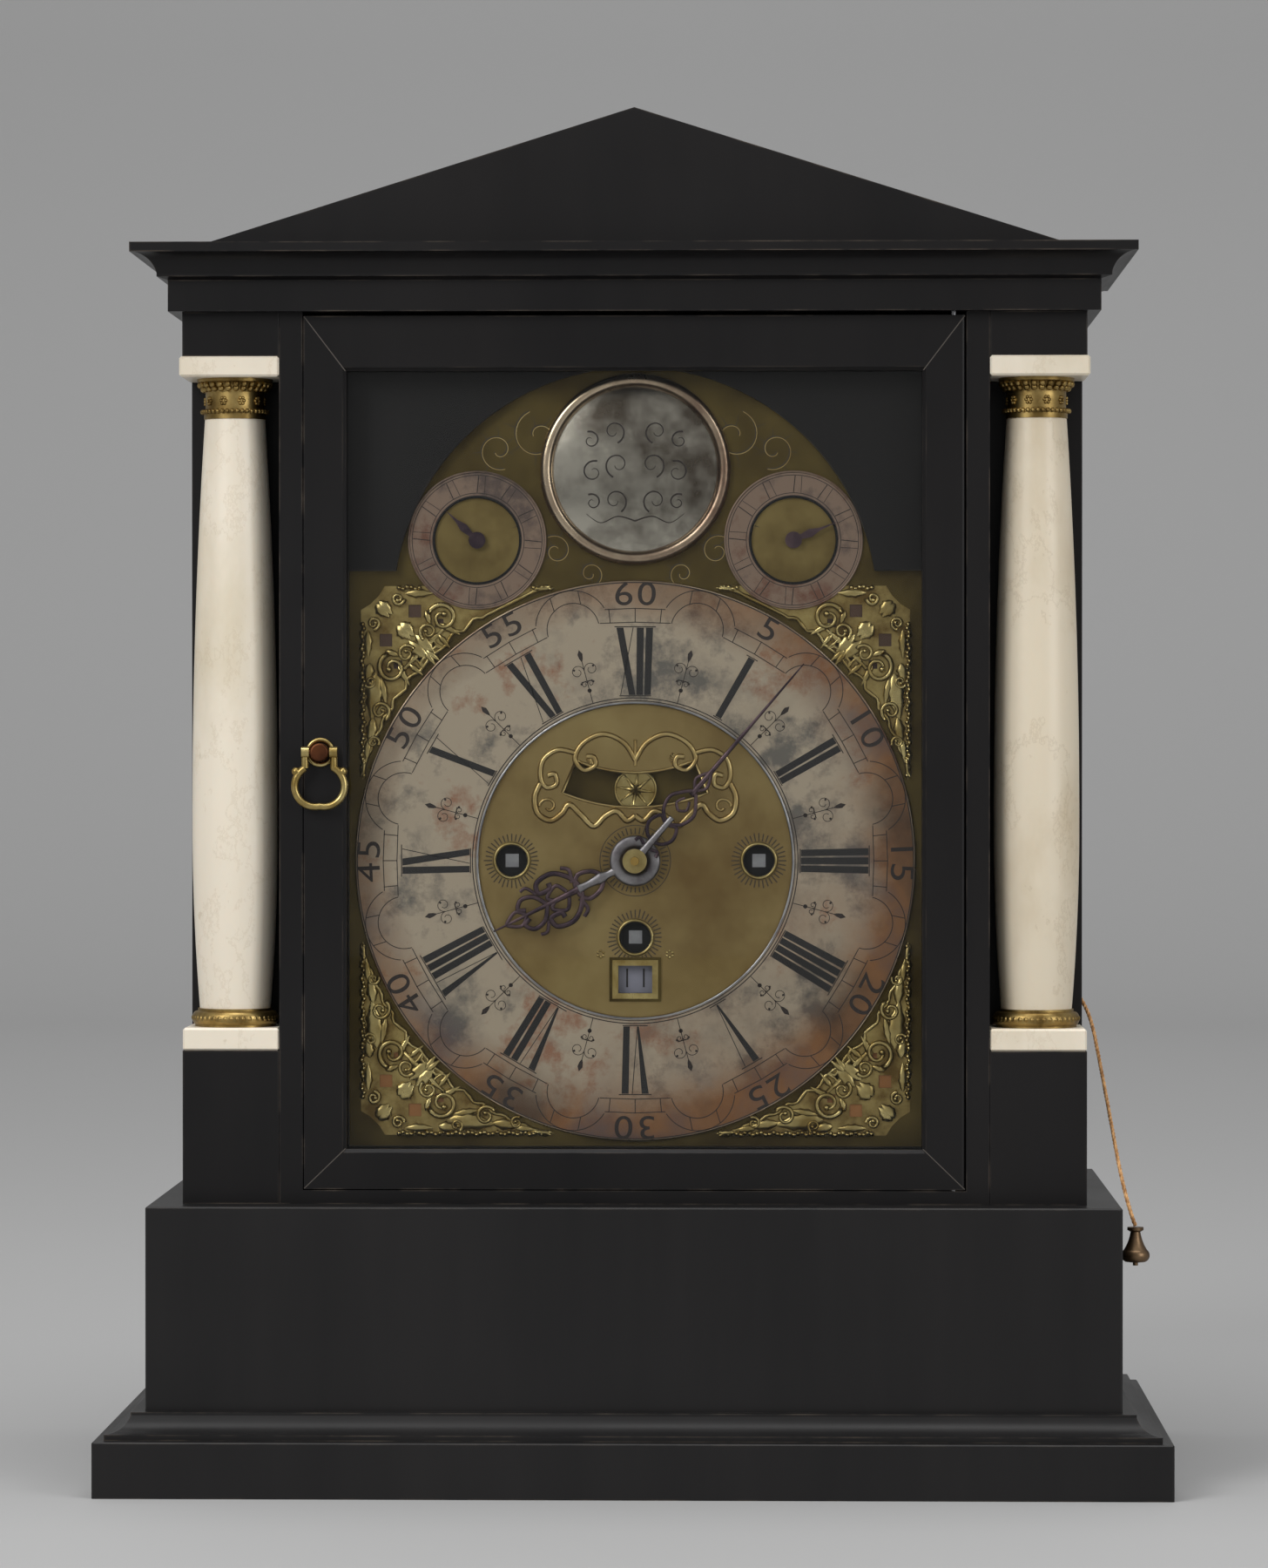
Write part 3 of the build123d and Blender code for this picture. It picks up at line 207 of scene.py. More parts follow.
def makeMetal(name, base, dark, rough, scale=40.0, contrast=(0.35, 0.7), seed=0.0, bumpiness=0.1):
    material, tree, shader = newMaterial(name)
    cloud = noise(tree, scale, 6.0, 0.6, seed=seed)
    tone = ramp(tree, cloud, [(contrast[0], dark), (contrast[1], base)])
    roughness = ramp(tree, cloud, [(0.3, grey(rough + 0.15)), (0.7, grey(rough))])
    setInputs(tree, shader, {"Base Color": tone, "Metallic": 1.0, "Roughness": roughness})
    bump(tree, shader, noise(tree, scale * 9, 3.0, 0.5, seed=seed + 2), bumpiness, 0.0001)
    return material


gilt = makeMetal("gilt brass", lin(208, 190, 132), lin(140, 118, 66), 0.24, 90.0)
# the spandrels' ground: rougher than the raised gilt, and darker as painted shade in the casting's recesses
shadedWebMetal = makeMetal("casting ground", lin(186, 166, 108), lin(112, 90, 50), 0.36, 120.0)
bronze = makeMetal("dark gilt bronze", lin(184, 158, 100), lin(112, 90, 50), 0.32, 120.0)
olive = makeMetal("matted brass", lin(168, 148, 100), lin(118, 96, 58), 0.40, 22.0, (0.3, 0.75), 3.0, 0.25)
reliefBrass = makeMetal("relief brass", lin(216, 194, 136), lin(156, 130, 80), 0.26, 80.0)
bezelMetal = makeMetal("toned bezel", lin(206, 186, 160), lin(112, 84, 70), 0.22, 30.0, (0.35, 0.62), 4.0)
mirror = makeMetal("polished boss", lin(186, 180, 168), lin(92, 84, 74), 0.14, 42.0, (0.36, 0.60), 7.0, 0.15)
arch = makeMetal("engraved brass", lin(112, 97, 56), lin(66, 54, 30), 0.42, 30.0, (0.3, 0.75), 5.0, 0.2)
steel = makeMetal("polished steel", lin(190, 190, 192), lin(130, 130, 134), 0.25, 60.0)
blued = makeMetal("worn blued steel", lin(112, 92, 96), lin(58, 48, 56), 0.38, 70.0, (0.4, 0.7))
wornSteel = makeMetal("worn steel", lin(170, 168, 170), lin(104, 98, 102), 0.36, 90.0)
copper = makeMetal("toned copper", lin(120, 74, 48), lin(72, 44, 30), 0.36, 90.0)
pullBronze = makeMetal("pull bronze", lin(136, 112, 86), lin(84, 66, 48), 0.34, 120.0)
movementBrass = makeMetal("movement brass", lin(196, 164, 92), lin(160, 128, 64), 0.3, 40.0)


def makeInk(name, color, rough=0.6):
    material, tree, shader = newMaterial(name)
    setInputs(tree, shader, {"Base Color": color + (1.0,), "Roughness": rough})
    return material


ink = makeInk("black wax", lin(22, 20, 20), 0.5)
fineInk = makeInk("engraved line", lin(40, 30, 26))
# near-black and rough: painted shade, put behind the winding holes and at the subdials' inner step
paintedShade = makeInk("dark hole", (0.004, 0.004, 0.004), 0.9)
whiteLine = makeInk("silvered line", lin(176, 168, 154), 0.4)

silverLook = {
    "pale": lin(186, 171, 150), "grey": lin(116, 111, 104), "pink": lin(160, 118, 94),
    "orange": lin(138, 92, 52), "brown": lin(78, 54, 35), "violet": lin(92, 76, 78),
}


def makeSilver(name, look, inner, outer, amount):
    material, tree, shader = newMaterial(name)
    cloud = noise(tree, 42.0, 8.0, 0.68, seed=2.0)
    body = ramp(tree, cloud, [(0.36, look["grey"]), (0.48, look["pale"]), (0.56, look["pale"]),
                              (0.66, look["pink"])])
    blotch = ramp(tree, noise(tree, 26.0, 9.0, 0.72, seed=8.0), [(0.52, black), (0.72, grey(0.65))])
    body = mixColor(tree, blotch, body, look["grey"])

    # tarnish: more of it away from the dial's centre, to the right and low down, with a ragged edge
    coords = addNode(tree, "TexCoord", {})["Object"]
    shift = addNode(tree, "VectorMath", {0: coords, 1: (0, 0, dialZ * mm)}, operation="SUBTRACT")["Vector"]
    flat = addNode(tree, "VectorMath", {0: shift, 1: (1, 0, 1)}, operation="MULTIPLY")["Vector"]
    length = addNode(tree, "VectorMath", {0: flat}, operation="LENGTH")["Value"]
    away = mapRange(tree, length, inner * mm, outer * mm, "SMOOTHERSTEP")
    split = addNode(tree, "SeparateXYZ", {"Vector": shift})
    side = mapRange(tree, split["X"], -0.07, 0.09)
    low = mapRange(tree, split["Z"], 0.06, -0.10)
    lean = addNode(tree, "Math", {0: side, 1: low}, operation="ADD")["Value"]
    gather = addNode(tree, "Math", {0: lean, 1: 0.60, 2: away}, operation="MULTIPLY_ADD")["Value"]
    edge = noise(tree, 34.0, 7.0, 0.7, seed=5.0)
    ragged = addNode(tree, "Math", {0: edge, 1: 0.9, 2: gather}, operation="MULTIPLY_ADD")["Value"]
    spread = addNode(tree, "Math", {0: ragged, 1: 0.38}, operation="MULTIPLY")["Value"]
    tint = ramp(tree, spread, [(0.40, black), (0.58, grey(amount * 0.5)), (0.80, grey(amount))])
    rust = ramp(tree, noise(tree, 20.0, 5.0, 0.6, seed=12.0),
                [(0.36, look["violet"]), (0.50, look["orange"]), (0.66, look["brown"])])
    body = mixColor(tree, tint, body, rust)
    setInputs(tree, shader, {"Base Color": body, "Metallic": 0.55, "Roughness": 0.42})
    bump(tree, shader, cloud, 0.12, 0.0002)
    return material


silver = makeSilver("tarnished silvering", silverLook, 70, 100, 0.92)
brownLook = dict(silverLook, pale=lin(142, 120, 104), grey=lin(96, 82, 76), pink=lin(118, 82, 66))
subSilver = makeSilver("brown silvering", brownLook, 400, 500, 0.6)


def makeGlass():
    material, tree, shader = newMaterial("window glass")
    tree.nodes.remove(shader)
    clear = addNode(tree, "BsdfTransparent", {"Color": (0.97, 0.975, 0.97, 1)})["BSDF"]
    gloss = addNode(tree, "BsdfGlossy", {"Roughness": 0.02})["BSDF"]
    fresnel = addNode(tree, "Fresnel", {"IOR": 1.25})["Fac"]
    mixed = addNode(tree, "MixShader", {"Fac": fresnel, 1: clear, 2: gloss})["Shader"]
    tree.links.new(mixed, tree.nodes["Material Output"].inputs["Surface"])
    return material


glass = makeGlass()

# each material's nodes; the rest are movement brass
nodeLook = (
    (baseWood, "plinth base_moulding base_frame"),
    (woodMaterial, "pedestals entablature_blocks side_panel_left side_panel_right front_frame case_top"),
    (woodMaterial, "frieze cornice pediment back_frame door_frame back_door seat_board"),
    (maskWood, "dial_mask"),
    (stoneLeft, "column_shaft_left column_slabs"), (stoneRight, "column_shaft_right"),
    (bronze, "column_mounts"), (glass, "door_glass back_door_glass"), (copper, "pull_stud"),
    (gilt, "door_pull spandrels hand_collet mock_pendulum"), (arch, "dial_plate"), (silver, "chapter_ring"),
    (mirror, "name_boss"), (bezelMetal, "boss_bezel"), (subSilver, "subdial_rings"),
    (blued, "hour_hand minute_hand strike_hand repeat_hand"), (whiteLine, "date_disc"),
    (steel, "door_pivots hammer pallet_arbor winding_arbor_left winding_arbor_right winding_arbor_lower"),
    (pullBronze, "repeat_pull"),
)
looks = {name: material for material, names in nodeLook for name in names.split()}
for name, node in nodes.items():
    node.data.materials.clear()
    node.data.materials.append(looks.get(name, movementBrass))
print("materials set")


# pieces: placed in the scene, and made from points in millimetres

def placed(name, data):
    name = name.replace(" ", "_")
    if name in bpy.data.objects:
        name += f"_{sum(1 for o in bpy.data.objects if o.name.startswith(name)) + 1}"
    piece = bpy.data.objects.new(name, data)
    bpy.context.collection.objects.link(piece)
    return piece


def meshPiece(name, vertices, faces, material, smooth=False):
    mesh = bpy.data.meshes.new(name)
    mesh.from_pydata([Vector(v) * mm for v in vertices], [], faces)
    mesh.materials.append(material)
    for polygon in mesh.polygons:
        polygon.use_smooth = smooth
    return placed(name, mesh)


def pieceFrom(name, vertices, faces, material, body, smooth=False):
    piece = meshPiece(name, vertices, faces, material, smooth)
    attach(piece, body)
    return piece


def filledPiece(name, shape, material, body):
    mesh = bpy.data.meshes.new(name)
    shape.to_mesh(mesh)
    shape.free()
    mesh.materials.append(material)
    piece = placed(name, mesh)
    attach(piece, body)
    return piece


def fillLoops(shape, loops, depth):
    edges = []
    for loop in loops:
        points = [shape.verts.new((x * mm, depth * mm, (dialZ + z) * mm)) for x, z in loop]
        edges += [shape.edges.new((points[i], points[(i + 1) % len(points)])) for i in range(len(points))]
    bmesh.ops.triangle_fill(shape, use_beauty=True, use_dissolve=False, edges=edges, normal=(0, -1, 0))


def gridFaces(rows, around, closed=False, flipped=False):
    faces = []
    for i in range(rows if closed else rows - 1):
        k = (i + 1) % rows
        for j in range(around):
            l = (j + 1) % around
            face = [i * around + j, k * around + j, k * around + l, i * around + l]
            faces.append([face[0]] + face[:0:-1] if flipped else face)
    return faces


# flat shapes on the dial: x and z are measured from the dial's centre
class Shapes:
    def __init__(self):
        self.vertices, self.faces = [], []

    def add(self, points, depth):
        start = len(self.vertices)
        self.vertices += [(x, depth, dialZ + z) for x, z in points]
        self.faces.append(list(range(start, start + len(points))))

    def strip(self, left, right, depth, closed=False):
        start = len(self.vertices)
        count = len(left)
        for (a, b), (c, d) in zip(left, right):
            self.vertices += [(a, depth, dialZ + b), (c, depth, dialZ + d)]
        for i in range(count if closed else count - 1):
            j = (i + 1) % count
            self.faces.append([start + 2 * i, start + 2 * j, start + 2 * j + 1, start + 2 * i + 1])

    def line(self, points, width, depth, closed=False, taper=None):
        left, right = [], []
        count = len(points)
        for i, (x, z) in enumerate(points):
            before = points[i - 1] if i or closed else points[i]
            after = points[(i + 1) % count] if i < count - 1 or closed else points[i]
            dx, dz = after[0] - before[0], after[1] - before[1]
            size = hypot(dx, dz) or 1.0
            half = width / 2 * (taper(i / max(1, count - 1)) if taper else 1.0)
            left.append((x - dz / size * half, z + dx / size * half))
            right.append((x + dz / size * half, z - dx / size * half))
        self.strip(left, right, depth, closed)

    def piece(self, name, material, body):
        return pieceFrom(name, self.vertices, self.faces, material, body)


def onDial(radius, degrees):
    turn = radians(degrees)
    return radius * sin(turn), radius * cos(turn)


def arcPoints(radius, start, end, steps, cx=0.0, cz=0.0):
    points = []
    for i in range(steps + 1):
        x, z = onDial(radius, start + (end - start) * i / steps)
        points.append((cx + x, cz + z))
    return points


def circlePoints(radius, cx=0.0, cz=0.0, steps=96):
    return arcPoints(radius, 0, 360 - 360 / steps, steps - 1, cx, cz)


def spiralPoints(cx, cz, size, start, turns, sign=1, shrink=0.75, steps=26):
    points = []
    for i in range(steps + 1):
        t = i / steps
        radius = size * (1 - shrink * t)
        x, z = onDial(radius, start + sign * 360 * turns * t)
        points.append((cx + x, cz + z))
    return points


def radial(x, z, degrees):
    turn = radians(degrees)
    return x * cos(turn) + z * sin(turn), -x * sin(turn) + z * cos(turn)


# chapter ring: numerals, minute band and half-hour leaves
ringLook = {
    "numeralFoot": 57.6, "numeralTop": 81.0, "depth": -53.26, "figures": 92.4,
    "strokes": {"thick": 2.45, "thin": 0.28}, "serif": 0.35, "serifGap": 0.3, "serifOver": 0.6,
    "footScale": 0.74, "circles": ((96.7, 0.4), (56.6, 0.35), (55.6, 0.3)),
}
numerals = ["XII", "I", "II", "III", "IIII", "V", "VI", "VII", "VIII", "IX", "X", "XI"]
widths = {"I": 3.2, "V": 7.0, "X": 6.8}
# each stroke: its foot's and top's shift, its thickness, and how much of that the foot keeps
letterStrokes = {
    "I": ((0, 0, "thick", 0.92),),
    "V": ((0.4, -1.9, "thick", 0.25), (0.6, 2.6, "thin", 0.92)),
    "X": ((1.7, -2.1, "thick", 0.92), (-2.3, 2.5, "thin", 0.92)),
}
bold, fine = Shapes(), Shapes()
foot, top, ringDepth = ringLook["numeralFoot"], ringLook["numeralTop"], ringLook["depth"]
for hour, numeral in enumerate(numerals):
    turn = hour * 30
    total = sum(widths[letter] for letter in numeral)
    place = -total / 2
    for letter in numeral:
        middle = place + widths[letter] / 2
        for footShift, topShift, thickness, point in letterStrokes[letter]:
            x0, x1 = middle * (foot / top + 1) / 2 + footShift, middle + topShift
            half = ringLook["strokes"][thickness] / 2
            low = half * point
            corners = ((x0 - low, foot), (x0 + low, foot), (x1 + half, top), (x1 - half, top))
            bold.add([radial(x, z, turn) for x, z in corners], ringDepth)
        place += widths[letter]
    for radius, scale in ((foot - ringLook["serifGap"], ringLook["footScale"]),
                          (top + ringLook["serifGap"], 1.0)):
        half = total / 2 * scale + ringLook["serifOver"]
        fine.line([radial(x, radius, turn) for x in (-half, half)], ringLook["serif"], ringDepth)
bold.piece("roman numerals", ink, "case")

bandLook = {
    "bars": ((82.9, 8.5), (87.7, 6.9)), "bow": 0.995, "line": 0.3,
    "arches": ((83.2, 9.1, 92), (83.8, 12.9, 72.5)),
    "ticks": ((-6, 83.2, 88.0), (0, 82.9, 87.7), (6, 83.2, 88.0), (12, 91.2, 95.7), (18, 91.2, 95.7)),
}
for hour in range(12):
    turn = hour * 30
    for radius, reach in bandLook["bars"]:
        ends = radius / cos(radians(reach)) * bandLook["bow"]
        fine.line([onDial(ends, turn - reach), onDial(radius, turn), onDial(ends, turn + reach)],
                  bandLook["line"], ringDepth)
    for middle, size, ends in bandLook["arches"]:
        arc = arcPoints(size, turn + 15 - ends, turn + 15 + ends, 30, *onDial(middle, turn + 15))
        fine.line(arc, bandLook["line"], ringDepth)
    for minute, inner, outer in bandLook["ticks"]:
        fine.line([onDial(inner, turn + minute), onDial(outer, turn + minute)], bandLook["line"], ringDepth)
for radius, width in ringLook["circles"]:
    fine.line(circlePoints(radius, steps=180), width, ringDepth, closed=True)

leafLook = {
    "foot": 56.8, "stem": 61.2, "bud": 0.75, "top": 75.8, "stemLine": 0.26, "bar": (2.0, 64.6, 0.3),
    "tip": ((0, 0), (0.9, 1.6), (0.6, 3.2), (0, 4.6), (-0.6, 3.2), (-0.9, 1.6)),
    "curls": ((62.6, 1.1), (66.2, 2.4)), "curlLine": 0.24, "shrink": 0.62, "turns": 1.15,
    "berry": 0.42,
}


def leafLine(points, turn, width):
    fine.line([radial(x, z, turn) for x, z in points], width, ringDepth)


def leafFill(points, turn):
    fine.add([radial(x, z, turn) for x, z in points], ringDepth)


for half in range(12):
    turn = half * 30 + 15
    leafLine([(0, leafLook["foot"]), (0, leafLook["top"] - 4)], turn, leafLook["stemLine"])
    leafFill(circlePoints(leafLook["bud"], 0, leafLook["stem"], 12), turn)
    leafFill([(x, leafLook["top"] - down) for x, down in leafLook["tip"]], turn)
    reach, up, width = leafLook["bar"]
    leafLine([(-reach, up), (reach, up)], turn, width)
    for sign in (-1, 1):
        for base, size in leafLook["curls"]:
            spiral = spiralPoints(sign * size, base + size * 0.9, size, -90 * sign, leafLook["turns"], sign,
                                  leafLook["shrink"], 21)
            leafLine(spiral, turn, leafLook["curlLine"])
            leafFill(circlePoints(leafLook["berry"], sign * (size + 1.0), base + size * 1.3, 8), turn)
fine.piece("ring engraving", fineInk, "case")


def textShape(text, size, x, z, degrees, depth, material, name, stretch=1.0):
    curve = bpy.data.curves.new(name, "FONT")
    curve.body = text
    curve.size = size * mm
    curve.align_x = "CENTER"
    curve.align_y = "CENTER"
    holder = placed(name, curve)
    mesh = bpy.data.meshes.new_from_object(holder)
    bpy.data.objects.remove(holder)
    turn = Matrix.Rotation(radians(-degrees), 4, "Z")
    stand = Matrix.Rotation(radians(90), 4, "X")
    grow = Matrix.Diagonal((stretch, 1, 1, 1))
    mesh.transform(Matrix.Translation((x * mm, depth * mm, (dialZ + z) * mm)) @ stand @ turn @ grow)
    mesh.materials.clear()
    mesh.materials.append(material)
    return placed(name, mesh)


def joinPieces(name, parts, body):
    made = bmesh.new()
    material = parts[0].data.materials[0]
    for part in parts:
        made.from_mesh(part.data)
        bpy.data.objects.remove(part)
    return filledPiece(name, made, material, body)


figureLook = {"size": 11.6, "spread": 5.0, "stretch": 1.22}
figures = []
for step in range(12):
    number = str((step or 12) * 5)
    for index, digit in enumerate(number):
        turn = step * 30 + (index - (len(number) - 1) / 2) * figureLook["spread"]
        x, z = onDial(ringLook["figures"], turn)
        figures.append(textShape(digit, figureLook["size"], x, z, turn, ringDepth, fineInk, "figure",
                                 figureLook["stretch"]))
joinPieces("minute figures", figures, "case")
print("chapter ring engraved")


# dial centre: matted disc, hatching and winding holes
centreLook = {
    "disc": 54.4, "matted": plateFace - 0.06, "hatch": plateFace - 0.12, "hatchLine": 0.46,
    "circle": (12.3, 0.3, plateFace - 0.10), "rim": (5.95, 0.6, plateFace - 0.7),
    "well": (6.4, -48.42), "windingHole": 5.4, "centreHole": 4.5,
    "window": (5.9, -46.1, -36.5),
}
slotLook = {"turn": 23.0, "middle": 58.9, "half": 6.1, "pivot": 83.5}
slotPoints = []
for side in (-1, 1):
    first = side * slotLook["turn"]
    radius = slotLook["middle"] + side * slotLook["half"]
    for i in range(25):
        a = radians(first - 2 * first * i / 24)
        slotPoints.append((radius * sin(a), slotLook["pivot"] - radius * cos(a)))
half, low, high = centreLook["window"]
loops = [circlePoints(centreLook["disc"], steps=160), slotPoints,
         [(-half, low), (half, low), (half, high), (-half, high)]]
loops += [circlePoints(centreLook["windingHole"], x, z, 40) for x, z in windingHoles]
loops.append(circlePoints(centreLook["centreHole"], 0, 0, 40))
centre = bmesh.new()
fillLoops(centre, loops, centreLook["matted"])
filledPiece("matted centre", centre, olive, "case")

# each ring of hatching: x, z, inner and outer radius, strokes
hatchRings = [(x, z, 6.8, 9.6, 36) for x, z in windingHoles] + [(0, 0, 9.3, 11.6, 44)]
hatch = Shapes()
for x, z, inner, outer, count in hatchRings:
    for i in range(count):
        a, b = onDial(inner, i * 360 / count), onDial(outer + random.uniform(-0.5, 0.3), i * 360 / count)
        ends = [(x + a[0], z + a[1]), (x + b[0], z + b[1])]
        hatch.line(ends, centreLook["hatchLine"], centreLook["hatch"])
radius, width, depth = centreLook["circle"]
hatch.line(circlePoints(radius), width, depth, closed=True)
hatch.piece("radial hatching", makeInk("hatch", lin(62, 48, 26), 0.45), "case")


def torus(name, x, z, depth, radius, wire, material, body, steps=64, around=10, flat=1.0):
    vertices = []
    for i in range(steps):
        a = 2 * pi * i / steps
        for j in range(around):
            b = 2 * pi * j / around
            r = radius + wire * cos(b)
            vertices.append((x + r * cos(a), depth + wire * flat * sin(b),
                             dialZ + z + r * sin(a)))
    return pieceFrom(name, vertices, gridFaces(steps, around, closed=True), material, body, True)


radius, wire, depth = centreLook["rim"]
for x, z in windingHoles:
    torus("winding hole rim", x, z, depth, radius, wire, gilt, "case")
# near-black discs behind the winding holes: painted shade inside the holes
wellShade = Shapes()
radius, depth = centreLook["well"]
for x, z in windingHoles:
    wellShade.add(circlePoints(radius, x, z, 32), depth)
wellShade.piece("winding wells", paintedShade, "case")
print("dial centre made")


# tubes along flat paths, used for scrolls, hands and castings

def tube(points, radii, around=8, flatten=1.0):
    vertices = []
    count = len(points)
    for i, (x, y, z) in enumerate(points):
        before, after = points[max(0, i - 1)], points[min(count - 1, i + 1)]
        dx, dz = after[0] - before[0], after[2] - before[2]
        size = hypot(dx, dz) or 1.0
        nx, nz = -dz / size, dx / size
        radius = radii[i] if isinstance(radii, list) else radii
        for j in range(around):
            a = 2 * pi * j / around
            vertices.append((x + nx * cos(a) * radius, y - sin(a) * radius * flatten,
                             z + nz * cos(a) * radius))
    faces = gridFaces(count, around, flipped=True)
    faces.append(list(range(around)))
    faces.append([(count - 1) * around + j for j in range(around)][::-1])
    return vertices, faces


class Casting:
    def __init__(self):
        self.vertices, self.faces = [], []

    def put(self, vertices, faces):
        start = len(self.vertices)
        self.vertices += vertices
        self.faces += [[start + i for i in face] for face in faces]

    def rod(self, points, radii, depth, flatten=1.0, around=8):
        self.put(*tube([(x, depth, dialZ + z) for x, z in points], radii, around, flatten))

    def ball(self, x, z, depth, radius, flatten=1.0):
        vertices = []
        rings, around = 5, 10
        for i in range(rings + 1):
            a = pi * i / rings
            across = radius * sin(a)
            for j in range(around):
                b = 2 * pi * j / around
                vertices.append((x + across * cos(b), depth - radius * flatten * cos(a),
                                 dialZ + z + across * sin(b)))
        self.put(vertices, gridFaces(rings + 1, around))

    def piece(self, name, material, body):
        return pieceFrom(name, self.vertices, self.faces, material, body, True)


def curvePoints(control, steps=12):
    points = []
    padded = [control[0]] + list(control) + [control[-1]]
    for i in range(1, len(padded) - 2):
        for k in range(steps):
            t = k / steps
            points.append(tuple(
                0.5 * (2 * b + (-a + c) * t + (2 * a - 5 * b + 4 * c - d) * t * t +
                       (-a + 3 * b - 3 * c + d) * t ** 3) for a, b, c, d in zip(*padded[i - 1:i + 3])))
    points.append(tuple(control[-1]))
    return points


def mirrored(points, sign):
    return [(sign * x, z) for x, z in points]


# mock pendulum aperture: scrolled relief, a hatched plate behind, and the bob's star
reliefLook = {
    "depth": plateFace - 0.2, "flatten": 0.7, "fan": (14.5, 35.5, 2.6, 0.28), "slotRim": 0.5,
    "scrolls": ((0.95, ((0, 35), (4, 41), (11, 44), (18, 41), (21, 35.5), (18, 31.5), (14, 33),
                        (14.5, 36), (17, 36.2))),
                (0.95, ((21, 37.5), (27, 38.5), (32, 35), (33, 29), (31, 25.5), (27.5, 26.5),
                        (28, 30), (30.5, 29.6))),
                (1.1, ((33, 27), (35, 22), (34, 16.5), (29.5, 14), (25.5, 16.5), (23, 19.5),
                       (19, 16), (14.5, 12), (10.5, 15.5), (6.5, 17.2), (3, 14.0), (0, 15.6)))),
}
relief = Casting()
reliefDepth, flatten = reliefLook["depth"], reliefLook["flatten"]
for sign in (-1, 1):
    for wire, points in reliefLook["scrolls"]:
        relief.rod(curvePoints(mirrored(points, sign)), wire, reliefDepth, flatten)
    relief.rod(spiralPoints(sign * 30.2, 18.8, 3.2, 90 * sign, 0.9, -sign), 0.5, reliefDepth, flatten)
    cx, cz, reach, wire = reliefLook["fan"]
    for k in range(5):
        x, z = onDial(reach, 200 + sign * 30 + k * 22)
        relief.rod([(sign * cx, cz), (sign * cx + x, cz + z)], wire, reliefDepth, flatten)
relief.rod(curvePoints([(0, 33), (0, 38), (0, 42)]), 0.55, reliefDepth, flatten)
for sign in (-1, 1):
    relief.rod(curvePoints(mirrored([(0, 36), (1.6, 39), (3.0, 40.6)], sign)), 0.4, reliefDepth, flatten)
relief.rod(slotPoints + slotPoints[:1], reliefLook["slotRim"], reliefDepth + 0.1, 0.8)
relief.piece("aperture scrolls", reliefBrass, "case")

backingLook = {
    "left": -30, "width": 60, "low": 15, "high": 34, "upright": (90, 0.18), "level": (36, 0.16),
    "depth": -44.15,
}
backHatch = Shapes()
left, width, low, high = (backingLook[key] for key in ("left", "width", "low", "high"))
count, line = backingLook["upright"]
for i in range(count):
    x = left + width * i / (count - 1)
    backHatch.line([(x - 0.5, low), (x + 0.5, high)], line, backingLook["depth"])
count, line = backingLook["level"]
for i in range(count):
    z = low + (high - low) * i / (count - 1)
    backHatch.line([(left, z), (-left, z + random.uniform(-0.2, 0.2))], line, backingLook["depth"])
backHatch.piece("hatched backing", makeInk("dark hatch", lin(60, 50, 28), 0.5), "case")

bobLook = {"z": 24.6, "depth": -47.7, "rays": 8, "reach": 6.8, "rim": (7.1, 0.45)}
bob = Casting()
for k in range(bobLook["rays"]):
    x, z = onDial(bobLook["reach"], k * 360 / bobLook["rays"] + 8)
    bob.rod([(0, bobLook["z"]), (x, bobLook["z"] + z)], [0.9, 0.12], bobLook["depth"], 0.5, 6)
bob.piece("bob star", gilt, "pallets")
torus("bob rim", 0, bobLook["z"], bobLook["depth"], *bobLook["rim"], gilt, "pallets")
print("aperture made")

# date window and two small flowers
dateLook = {
    "inner": (5.9, 4.8), "outer": (9.0, 7.7), "innerDepth": plateFace - 0.99,
    "outerDepth": plateFace - 0.55, "ground": (9, -47.5, -35.2, -48.66),
    "figure": (9.5, 2.9, -48.72, 0.7), "flower": (12.0, -32.5, 1.1, 0.5),
}
frameShape = Shapes()
corners = [(-1, -1), (1, -1), (1, 1), (-1, 1)]
for i in range(4):
    a, b = corners[i], corners[(i + 1) % 4]
    start = len(frameShape.vertices)
    for (sx, sz), edge in ((a, "outer"), (b, "outer"), (b, "inner"), (a, "inner")):
        w, h = dateLook[edge]
        frameShape.vertices.append((sx * w, dateLook[edge + "Depth"], dialZ + dateZ + sz * h))
    frameShape.faces.append([start, start + 1, start + 2, start + 3])
frameShape.piece("date frame", gilt, "case")
dateDisc = Shapes()
half, low, high, depth = dateLook["ground"]
dateDisc.add([(-half, low), (half, low), (half, high), (-half, high)], depth)
dateDisc.piece("date ground", makeInk("date silver", lin(136, 136, 150), 0.4), "date")
size, shift, depth, stretch = dateLook["figure"]
dateParts = [textShape("1", size, x, dateZ, 0, depth, ink, "date figure", stretch) for x in (-shift, shift)]
joinPieces("date figures", dateParts, "date")
flower = Casting()
cx, cz, reach, size = dateLook["flower"]
for sign in (-1, 1):
    for k in range(6):
        x, z = onDial(reach, k * 60)
        flower.ball(sign * cx + x, cz + z, plateFace - 0.1, size, 0.6)
flower.piece("small flowers", gilt, "case")

